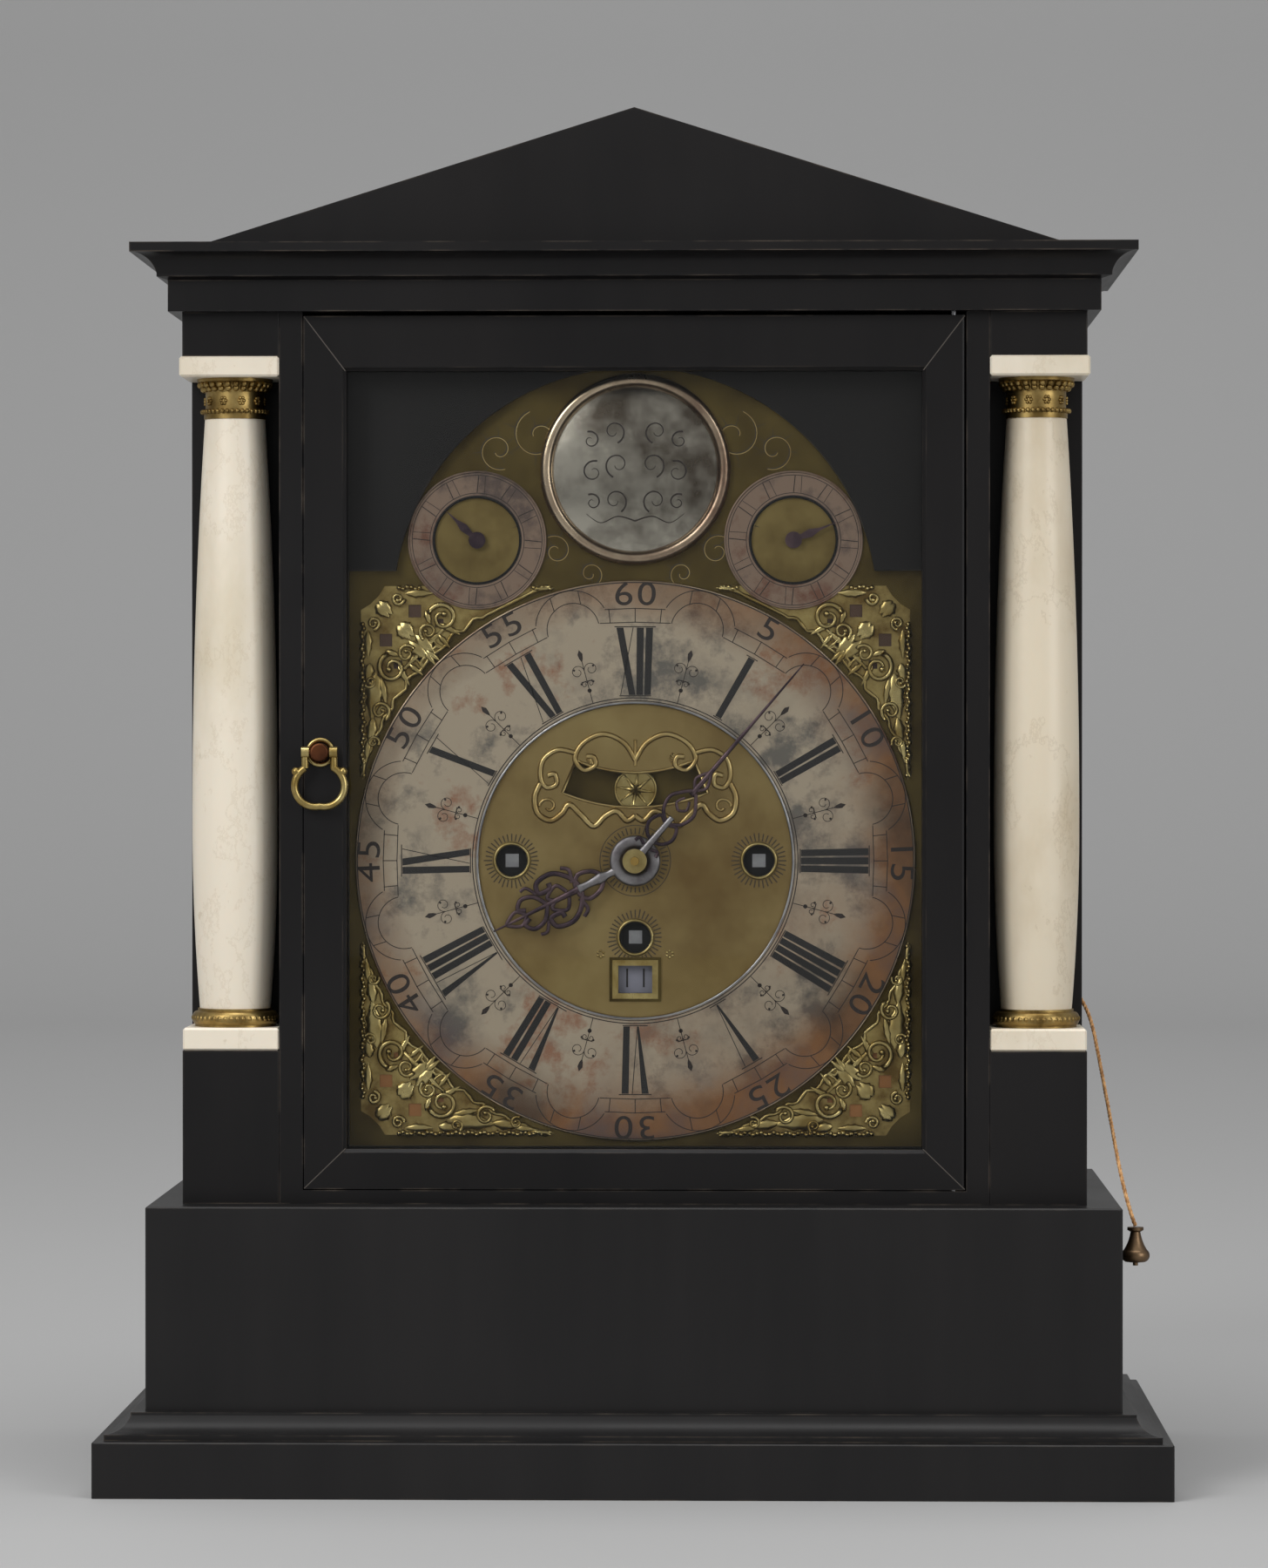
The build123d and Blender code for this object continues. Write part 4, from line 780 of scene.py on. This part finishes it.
# boss and subsidiary dials
bossLook = {"depth": plateFace - 1.9, "rings": ((30.2, 1.15), (32.2, 0.7))}
for radius, wire in bossLook["rings"]:
    torus("boss moulding", 0, bossZ, bossLook["depth"], radius, wire, bezelMetal, "case", 120, 12)
subX, subZ, lineDepth = subdialLook["x"], subdialLook["z"], subdialLook["lineDepth"]
lineWork = Shapes()
for sign in (-1, 1):
    for radius, width in ((23.6, 0.5), (22.6, 0.25), (15.4, 0.4), (16.4, 0.25)):
        lineWork.line(circlePoints(radius, sign * subX, subZ, 90), width, lineDepth, closed=True)
    for k in range(subdialLook["hours"]):
        for inner, outer, width in ((0, 1.5, 0.32), (9, 7.5, 0.2)):
            a, b = onDial(16.6, k * 30 + inner), onDial(22.4, k * 30 + outer)
            lineWork.line([(sign * subX + x, subZ + z) for x, z in (a, b)], width, lineDepth)
lineWork.piece("subdial engraving", fineInk, "case")
for sign in (-1, 1):
    torus("subdial edge", sign * subX, subZ, plateFace - 1.0, 23.8, 0.35, subSilver, "case", 96)
    # a near-black ring where the subdial ring steps down to its centre: painted shade in the step
    torus("subdial inner edge", sign * subX, subZ, plateFace - 0.9, 15.0, 0.4, paintedShade, "case", 80)
subCentre = Shapes()
for sign in (-1, 1):
    subCentre.add(circlePoints(14.8, sign * subX, subZ, 64), plateFace - 0.05)
subGround = makeMetal("subdial ground", lin(146, 128, 82), lin(104, 88, 52), 0.42, 40.0, (0.35, 0.7), 9.0,
                      0.2)
subCentre.piece("subdial centres", subGround, "case")

# flourishes on the boss, the same on both sides, laid on its dome
flourishLook = {
    "curls": ((7.5, 13.0, 4.2, 200, 1), (15.5, 10.0, 3.2, 20, -1), (6.0, 1.5, 4.6, 160, -1),
              (14.5, -1.0, 4.0, 340, 1), (7.0, -11.0, 4.4, 210, 1),
              (14.8, -11.5, 3.0, 30, -1)),
    "curlLine": 0.55, "sweep": ((0, 118.0), (6, 119.6), (12, 117.4), (17, 120.5)),
    "sweepLine": 0.5, "lift": 0.12,
}
flourish = Shapes()
for sign in (-1, 1):
    for x, z, size, start, way in flourishLook["curls"]:
        curl = spiralPoints(sign * x, bossZ + z, size, start * sign, 1.15, way * sign, 0.78, 30)
        flourish.line(curl, flourishLook["curlLine"], 0, taper=lambda t: 1.15 - 0.8 * t)
    sweep = curvePoints(mirrored(flourishLook["sweep"], sign), 10)
    flourish.line(sweep, flourishLook["sweepLine"], 0, taper=lambda t: 1.1 - 0.8 * t)
bossNode = nodes["name_boss"]
domeRows = {}
for vertex in bossNode.data.vertices:
    x, y, z = bossNode.matrix_world @ vertex.co / mm
    row = round(hypot(x, z - dialZ - bossZ), 1)
    domeRows[row] = min(y, domeRows.get(row, 0.0))
domeRows = sorted(domeRows.items())


def domeDepth(radius):
    for (r0, y0), (r1, y1) in zip(domeRows, domeRows[1:]):
        if r0 <= radius <= r1:
            return y0 + (y1 - y0) * (radius - r0) / (r1 - r0)
    return domeRows[0][1]


flourish.vertices = [(x, domeDepth(hypot(x, z - dialZ - bossZ)) - flourishLook["lift"], z)
                     for x, _, z in flourish.vertices]
flourish.piece("boss flourishes", fineInk, "case")

# engraved leaves in the arch: scrolls with short strokes round them, kept inside the arch
archLook = {
    "z": 87.2, "scrollReach": 82, "tipReach": 83, "depth": plateFace - 0.06,
    "glint": (0.4, -0.35, 0.26, plateFace - 0.07), "scrollLine": 0.5, "tipLine": 0.4,
    "scrolls": ((34, 148, 9, 20, 1), (48, 143, 7, 200, -1), (42, 158, 6, 80, 1),
                (60, 139.5, 4.5, 10, 1), (26, 162, 6.5, 120, -1), (14, 168, 4.0, 40, 1),
                (37, 118, 4.5, 60, 1), (72, 134, 4.0, 0, -1), (28, 108, 5.5, 30, -1),
                (16, 100, 4.5, 200, 1), (77, 122, 3.0, 60, 1)),
}


def inArch(points, reach):
    return all(hypot(x, z - archLook["z"]) < reach for x, z in points)


# the glints are bright brass copies of the scrolls, set a little aside: a painted highlight on the engraved
# cuts
leaves, glints = Shapes(), Shapes()
shiftX, shiftZ, glintLine, glintDepth = archLook["glint"]
random.seed(11)
for sign in (-1, 1):
    for cx, cz, size, start, direction in archLook["scrolls"]:
        points = spiralPoints(sign * cx, cz, size, start * sign, 1.2, direction * sign, 0.8, 34)
        if inArch(points, archLook["scrollReach"]):
            leaves.line(points, archLook["scrollLine"], archLook["depth"])
            glints.line([(x + shiftX, z + shiftZ) for x, z in points], glintLine, glintDepth)
            for x, z in points[4:30:4]:
                dx, dz = x - sign * cx, z - cz
                r = hypot(dx, dz) or 1
                tip = (x + dx / r * size * 0.5 + random.uniform(-0.6, 0.6), z + dz / r * size * 0.5)
                if inArch([tip], archLook["tipReach"]):
                    bend = ((x + tip[0]) / 2 + 0.4, (z + tip[1]) / 2)
                    leaves.line([(x, z), bend, tip], archLook["tipLine"], archLook["depth"],
                                taper=lambda t: 1 - 0.8 * t)
glints.piece("arch glints", reliefBrass, "case")
leaves.piece("arch engraving", makeInk("arch line", lin(52, 42, 22), 0.5), "case")
print("boss and subsidiary dials made")


# spandrels: a pierced ground with leaves, scrolls and beads laid on it, the same way from both edges
# leaves: place from both edges, turn, length, width; scrolls: place, size, start, turns, wire
spandrelLook = {
    "depth": -52.3, "edge": 96.2, "ring": 98.0, "subdial": 25.0, "margin": 1.2,
    "leaves": ((20.7, 22.9, 45, 8.5, 4.6), (15.5, 16.6, 45, 6.0, 5.0), (15.5, 31.5, 60, 7.0, 2.6),
               (19.6, 29.5, 40, 6.0, 2.2), (5.4, 38.5, 96, 15.0, 6.2), (8.6, 37.0, 80, 9.0, 2.8),
               (4.4, 51.0, 98, 9.0, 4.0), (2.9, 57.6, 96, 7.0, 3.0), (1.7, 63.5, 94, 7.5, 1.8),
               (3.2, 20.6, 90, 9.0, 3.2), (8.0, 9.0, 45, 6.0, 4.4), (3.4, 30.5, 100, 6.0, 4.0),
               (11.5, 24.0, 20, 5.0, 2.4), (25.5, 24.6, 38, 6.0, 2.4)),
    "scrolls": ((5.1, 13.7, 2.3, 0, 1.3, 0.7), (11.8, 29.2, 5.2, 200, 1.25, 0.95),
                (7.4, 44.2, 3.6, 30, 1.2, 0.75), (5.0, 55.0, 2.2, 60, 1.2, 0.55),
                (16.6, 24.2, 3.2, 120, 1.2, 0.7), (4.0, 34.0, 2.2, 300, 1.1, 0.6)),
    "holes": ((9.4, 19.5, 2.2), (19.5, 9.4, 2.2), (13.6, 28.0, 1.5), (28.0, 13.6, 1.5)),
}


def leafBlob(cx, cz, depth, turn, length, width, height=1.1):
    vertices = []
    rows, around = 8, 10
    for i in range(rows + 1):
        t = i / rows
        swell = sin(pi * min(1.0, t * 1.02)) ** 0.8 * (1 - 0.45 * t)
        along = (t - 0.45) * length
        for j in range(around):
            b = 2 * pi * j / around
            side = width / 2 * swell * cos(b) * (1 + 0.16 * sin(t * 22))
            up = height * swell * sin(b) * (1 - 0.35 * exp(-(cos(b) * 4) ** 2))
            vertices.append((cx + along * cos(turn) - side * sin(turn), depth - up,
                             dialZ + cz + along * sin(turn) + side * cos(turn)))
    return vertices, gridFaces(rows + 1, around)


def spandrel(casting, ground, sx, sz, look, upper):
    edge, depth, margin = look["edge"], look["depth"], look["margin"]

    def put(u, v):
        return sx * (edge - u), sz * (edge - v)

    def free(u, v, room):
        x, z = put(u, v)
        clear = hypot(x, z) > look["ring"] + room * 0.6
        apart = hypot(abs(x) - subX, z - subZ) > look["subdial"] + room * 0.8
        return clear and (apart or not upper)

    def inner(reach):
        low = margin
        if reach < edge:
            low = edge - sqrt(max(0.0, (look["ring"] + margin) ** 2 - (edge - reach) ** 2))
        return max(margin, min(low, 30.0)) - 0.5

    for swap in (False, True):
        for u, v, degrees, length, width in look["leaves"]:
            u, v, degrees = (v, u, 90 - degrees) if swap else (u, v, degrees)
            if free(u, v, width / 2):
                x, z = put(u, v)
                lean = radians(degrees)
                turn = atan2(-sz * sin(lean), -sx * cos(lean))
                casting.put(*leafBlob(x, z, depth - 0.5, turn, length * 1.15, width * 1.25))
        for u, v, size, start, turns, wire in look["scrolls"]:
            u, v, way = (v, u, -1) if swap else (u, v, 1)
            start = 90 - start if swap else start
            if free(u, v, size):
                curl = spiralPoints(u, v, size, start, turns, way, 0.72, 24)
                casting.rod([put(a, b) for a, b in curl], [wire * (1.1 - 0.5 * i / 24) for i in range(25)],
                            depth - 0.9)
                casting.ball(*put(*curl[-1]), depth - 1.0, wire * 1.25, 0.8)
        for k in range(38):
            along, aside = 14 + k * 1.42, 1.3 + 0.4 * sin(k * 1.9)
            u, v = (along, aside) if swap else (aside, along)
            if free(u, v, 0.6):
                casting.ball(*put(u, v), depth - 0.4 - 0.3 * sin(k), 0.95, 0.9)
    rim, step = [], 1.6
    reach = 67.0
    while reach > 15.0:
        rim.append((inner(reach) * (0.93 + 0.07 * sin(reach * 0.9)), reach))
        reach -= step
    line = rim + [(b, a) for a, b in reversed(rim)]
    line = [(a, b) for a, b in line if free(a, b, 0.0)]
    casting.rod([put(a, b) for a, b in line], [0.5 + 0.3 * sin(i * 1.3) ** 2 for i in range(len(line))],
                depth - 0.3)
    corner = [(line[-1][0], 0.7), (9.0, 0.7), (7.0, 4.0), (4.0, 7.0), (0.7, 9.0)]
    loops = [[put(a, b) for a, b in [(0.7, line[0][1])] + line + corner]]
    for u, v, half in look["holes"]:
        if free(u, v, half):
            loops.append([put(u + a * half, v + b * half) for a, b in ((-1, -1), (1, -1), (1, 1), (-1, 1))])
            (darkPatch if upper else warmPatch).add(loops[-1], plateFace - 0.05)
    fillLoops(ground, loops, depth + 0.15)


casting = Casting()
ground = bmesh.new()
warmPatch, darkPatch = Shapes(), Shapes()
for sx in (-1, 1):
    spandrel(casting, ground, sx, -1, spandrelLook, False)
    spandrel(casting, ground, sx, 1, spandrelLook, True)
castPiece = casting.piece("cast spandrels", gilt, "case")
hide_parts("spandrels")
warmPatch.piece("warm hole grounds", makeInk("warm patina", lin(150, 98, 46), 0.5), "case")
darkPatch.piece("dark hole grounds", makeInk("dark patina", lin(74, 48, 30), 0.5), "case")
# the ground under the raised work, its darker colour painted shade in the recesses
groundPiece = filledPiece("spandrel ground", ground, shadedWebMetal, "case")
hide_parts("spandrels")
print("spandrels made")


# hands: rods laid along the hand's own direction, the scrolls mirrored about it
def rodHand(casting, control, radii, look):
    points = [radial(x, z, look["angle"]) for x, z in curvePoints(control, 8)]
    casting.rod(points, radii, look["depth"], 0.35)


def handScrolls(casting, look):
    for sign in (-1, 1):
        for width, control in look["scrolls"]:
            rodHand(casting, mirrored(control, sign), width, look)


hourLook = {
    "angle": 243.4, "depth": -55.7,
    "scrolls": ((0.8, ((0, 12), (3.5, 15), (4.6, 20), (1.2, 22.5), (0.4, 19))),
                (0.9, ((0, 21), (5.0, 23), (9.0, 28), (8.4, 34), (4.8, 35), (4.6, 31),
                       (6.6, 30.4))),
                (0.7, ((1.0, 26), (4.6, 28.5), (2.2, 33), (0, 31))),
                (0.8, ((0, 34), (4.4, 37), (5.6, 41.5), (3.0, 44), (1.6, 41.6))),
                (0.65, ((0, 42), (2.6, 45), (1.2, 48.5), (0, 50))),
                (0.7, ((3.0, 23), (7.4, 22), (9.4, 24.4))),
                (0.6, ((5.0, 36), (8.4, 38.2), (8.2, 40.6)))),
    "blade": ((0, 21), (0, 35), (0, 55.0)), "bladeRadii": [1.3 - 1.05 * i / 16 for i in range(17)],
    "neck": ((0, 7), (0, 10), (0, 13), (0, 18), (0, 22)),
    "neckRadii": [2.2 - 0.9 * abs(sin(i / 32 * 6)) for i in range(33)],
}
hourHand = Casting()
handScrolls(hourHand, hourLook)
rodHand(hourHand, hourLook["blade"], hourLook["bladeRadii"], hourLook)
hourPiece = hourHand.piece("hour hand scrolls", blued, "hour")
neck = Casting()
rodHand(neck, hourLook["neck"], hourLook["neckRadii"], hourLook)
neck.piece("hour hand neck", wornSteel, "hour")
torus("hour boss", 0, 0, hourLook["depth"], 6.7, 2.15, wornSteel, "hour", 72, 12, 0.35)
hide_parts("hour_hand")

minuteLook = {
    "angle": 40.6, "depth": -58.9,
    "scrolls": ((0.65, ((0, 9), (3.4, 10.5), (5.2, 14), (3.6, 18), (1.0, 17))),
                (0.65, ((0, 17), (4.0, 20), (5.4, 25), (3.0, 29), (0.8, 31.5))),
                (0.5, ((0, 23), (2.2, 25), (1.0, 28))),
                (0.55, ((0, 32), (2.4, 35), (1.6, 38), (0, 40.5))),
                (0.6, ((1.5, 6.5), (4.0, 7.4), (4.6, 5.6)))),
    "blade": ((0, 30), (0, 60), (0, 90)), "bladeRadii": [1.0 - 0.8 * i / 16 for i in range(17)],
    "root": ((0, 3), (0, 8), (0, 13), (0, 20)), "rootRadii": [1.5 - 0.5 * i / 24 for i in range(25)],
}
minuteHand = Casting()
handScrolls(minuteHand, minuteLook)
rodHand(minuteHand, minuteLook["blade"], minuteLook["bladeRadii"], minuteLook)
minutePiece = minuteHand.piece("minute hand scrolls", blued, "minute")
root = Casting()
rodHand(root, minuteLook["root"], minuteLook["rootRadii"], minuteLook)
root.piece("minute hand root", wornSteel, "minute")
torus("minute boss", 0, 0, minuteLook["depth"], 3.5, 0.85, wornSteel, "minute", 48, 10, 0.5)
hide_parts("minute_hand")
print("hands made")

# plain rings: the pull's rose and the chapter ring's two edges
torus("pull rose", -108.25, 37.7, -70.9, 4.3, 0.8, gilt, "front_door", 48, 10, 0.8)
torus("ring inner edge", 0, 0, -53.1, 54.95, 0.4, steel, "case", 160, 8, 0.5)
torus("ring outer edge", 0, 0, -52.9, 97.0, 0.45, bezelMetal, "case", 200, 8, 0.7)
print("ring edges made")

# capitals and base rings: rows of beads and gadroons round each column
# each row: height over the capital's foot, radius, beads, bead's radius; the collar is a ring of small rings
mountLook = {
    "x": 139.25, "y": -53.25, "foot": 369.4 - dialZ,
    "rows": ((2.7, 11.3, 40, 0.85), (10.6, 10.9, 26, 1.25), (12.0, 12.1, 26, 1.2)),
    "collar": {"count": 10, "up": 6.3, "radius": 10.3, "turn": 0.09, "rise": 1.1, "size": 0.62},
    "base": (161.7 - dialZ, 14.2, 44, 1.15),
}


def beadRow(beads, x, z, radius, count, size):
    for k in range(count):
        a = 2 * pi * k / count
        beads.ball(x + radius * cos(a), z, mountLook["y"] + radius * sin(a), size)


collar = mountLook["collar"]
for sign in (-1, 1):
    beads = Casting()
    x, foot = sign * mountLook["x"], mountLook["foot"]
    for up, radius, count, size in mountLook["rows"]:
        beadRow(beads, x, foot + up, radius, count, size)
    for k in range(collar["count"]):
        for j in range(6):
            b = 2 * pi * j / 6
            a = 2 * pi * k / collar["count"] + collar["turn"] * cos(b)
            beads.ball(x + collar["radius"] * cos(a), foot + collar["up"] + collar["rise"] * sin(b),
                       mountLook["y"] + collar["radius"] * sin(a), collar["size"])
    z, radius, count, size = mountLook["base"]
    beadRow(beads, x, z, radius, count, size)
    beads.piece("column beads", bronze, "case")
print("column mounts made")

# door mitres, each from the window's corner to the frame's
mitreLook = {
    "inner": 99.6, "outer": 113.9, "heights": ((117.2, 103.4), (385.4, 404.2)), "line": 0.35,
    "depth": -70.04,
}
mitre = Shapes()
for sx in (-1, 1):
    for z0, z1 in mitreLook["heights"]:
        mitre.line([(sx * mitreLook["inner"], z0 - dialZ), (sx * mitreLook["outer"], z1 - dialZ)],
                   mitreLook["line"], mitreLook["depth"])
mitre.piece("mitre joints", makeInk("worn joint", lin(70, 64, 58), 0.5), "front_door")

# repeat cord: three strands laid round the route's own spline
cordLook = {
    "strand": 0.40, "offset": 0.35, "strands": 3, "pitch": 4.6, "resolution": 24, "around": 8,
    "rough": 0.8, "bump": (0.5, 0.0003),
}
cordPoints = [(147.5, -26.0, 173.0), (157.6, -26.4, 171.6), (163.6, -47.0, 136.0), (169.1, -68.0, 100.2),
              (172.75, -68.0, 90.8)]
curve = bpy.data.curves.new("cord route", "CURVE")
curve.dimensions = "3D"
spline = curve.splines.new("NURBS")
spline.points.add(len(cordPoints) - 1)
for point, co in zip(spline.points, cordPoints):
    point.co = (co[0] * mm, co[1] * mm, co[2] * mm, 1)
spline.order_u = 3
spline.use_endpoint_u = True
spline.resolution_u = cordLook["resolution"]
holder = placed("cord route", curve)
route = [v.co.copy() for v in bpy.data.meshes.new_from_object(holder).vertices]
bpy.data.objects.remove(holder)
cordMaterial, tree, shader = newMaterial("twisted cord")
twist = noise(tree, 900.0, 3.0, 0.5, (1, 1, 0.5), 1.0)
cordColor = ramp(tree, twist, [(0.35, lin(150, 104, 58)), (0.65, lin(214, 166, 112))])
setInputs(tree, shader, {"Base Color": cordColor, "Roughness": cordLook["rough"]})
bump(tree, shader, twist, *cordLook["bump"])
cord = Casting()
around = cordLook["around"]
for strand in range(cordLook["strands"]):
    travelled = 0.0
    vertices = []
    for i, point in enumerate(route):
        before, after = route[max(0, i - 1)], route[min(len(route) - 1, i + 1)]
        travelled += (point - before).length / mm
        along = (after - before).normalized()
        side = along.cross(Vector((1, 0, 0))).normalized()
        up = along.cross(side)
        a = 2 * pi * (travelled / cordLook["pitch"] + strand / cordLook["strands"])
        middle = point / mm + (side * cos(a) + up * sin(a)) * cordLook["offset"]
        for j in range(around):
            b = 2 * pi * j / around
            vertices.append(middle + (side * cos(b) + up * sin(b)) * cordLook["strand"])
    faces = gridFaces(len(route), around, flipped=True)
    faces.append(list(range(around))[::-1])
    faces.append([(len(route) - 1) * around + j for j in range(around)])
    cord.put(vertices, faces)
cordPiece = meshPiece("twisted cord", cord.vertices, cord.faces, cordMaterial, True)
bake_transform(cordPiece)
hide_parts("repeat_cord")
print("cord made")

# floor that curves up into the backdrop, its profile in metres as (y, z)
floorLook = {
    "front": -5.0, "bend": 3.2, "radius": 1.0, "top": 6.0, "half": 5, "color": (0.40, 0.40, 0.40, 1),
    "rough": 0.7,
}
bend, radius = floorLook["bend"], floorLook["radius"]
profile = [(floorLook["front"], 0.0), (bend, 0.0)]
for i in range(1, 13):
    a = radians(7.5 * i)
    profile.append((bend + radius * sin(a), radius - radius * cos(a)))
profile.append((bend + radius, floorLook["top"]))
floorMesh = bpy.data.meshes.new("floor")
floorMesh.from_pydata([(x, y, z) for y, z in profile for x in (-floorLook["half"], floorLook["half"])], [],
                      [[2 * i, 2 * i + 1, 2 * i + 3, 2 * i + 2] for i in range(len(profile) - 1)])
for polygon in floorMesh.polygons:
    polygon.use_smooth = True
floor = placed("floor", floorMesh)
floorMaterial, tree, shader = newMaterial("pale floor")
setInputs(tree, shader, {"Base Color": floorLook["color"], "Roughness": floorLook["rough"]})
floor.data.materials.append(floorMaterial)
print("floor made")

# world: one even light, and a grey of its own where the camera sees it
worldLook = {"light": (1, 1, 1, 1), "strength": 0.42, "seen": lin(176, 176, 177) + (1,)}
world = bpy.data.worlds.new("studio")
bpy.context.scene.world = world
world.use_nodes = True
tree = world.node_tree
background = tree.nodes["Background"]
setInputs(tree, background, {"Color": worldLook["light"], "Strength": worldLook["strength"]})
seen = addNode(tree, "Background", {"Color": worldLook["seen"]})["Background"]
toCamera = addNode(tree, "LightPath", {})["Is Camera Ray"]
mixed = addNode(tree, "MixShader", {"Fac": toCamera, 1: background.outputs["Background"], 2: seen})["Shader"]
tree.links.new(mixed, tree.nodes["World Output"].inputs["Surface"])


def aim(thing, place, target):
    thing.location = place
    thing.rotation_euler = (Vector(target) - thing.location).to_track_quat("-Z", "Y").to_euler()


# each light: place, target, size, power
lightLook = {
    "key": ((-1.3, -1.7, 1.5), (0, 0, 0.25), (1.0, 1.4), 30),
    "fill": ((1.7, -1.5, 0.9), (0, 0, 0.25), (1.0, 1.4), 15),
    "top": ((0.0, -0.3, 2.0), (0, 0, 0.3), (1.6, 1.2), 20),
    "backdrop": ((0.0, 2.2, 3.2), (0, 4.0, 0.9), (4.0, 1.0), 34),
}
for name, (place, target, size, power) in lightLook.items():
    light = bpy.data.lights.new(name, "AREA")
    light.shape = "RECTANGLE"
    light.size, light.size_y = size
    light.energy = power
    aim(placed(name, light), place, target)

cameraLook = {"lens": 133.3, "sensor": 36, "place": (0.048, -2.07, 0.258), "target": (0, -0.07, 0.243)}
camera = bpy.data.cameras.new("camera")
camera.lens = cameraLook["lens"]
camera.sensor_width = cameraLook["sensor"]
camera.sensor_fit = "VERTICAL"
camera.sensor_height = cameraLook["sensor"]
cameraObject = placed("camera", camera)
aim(cameraObject, cameraLook["place"], cameraLook["target"])
bpy.context.scene.camera = cameraObject
bpy.context.scene.view_settings.view_transform = "Standard"
print("light and camera set")

print("scene ready")
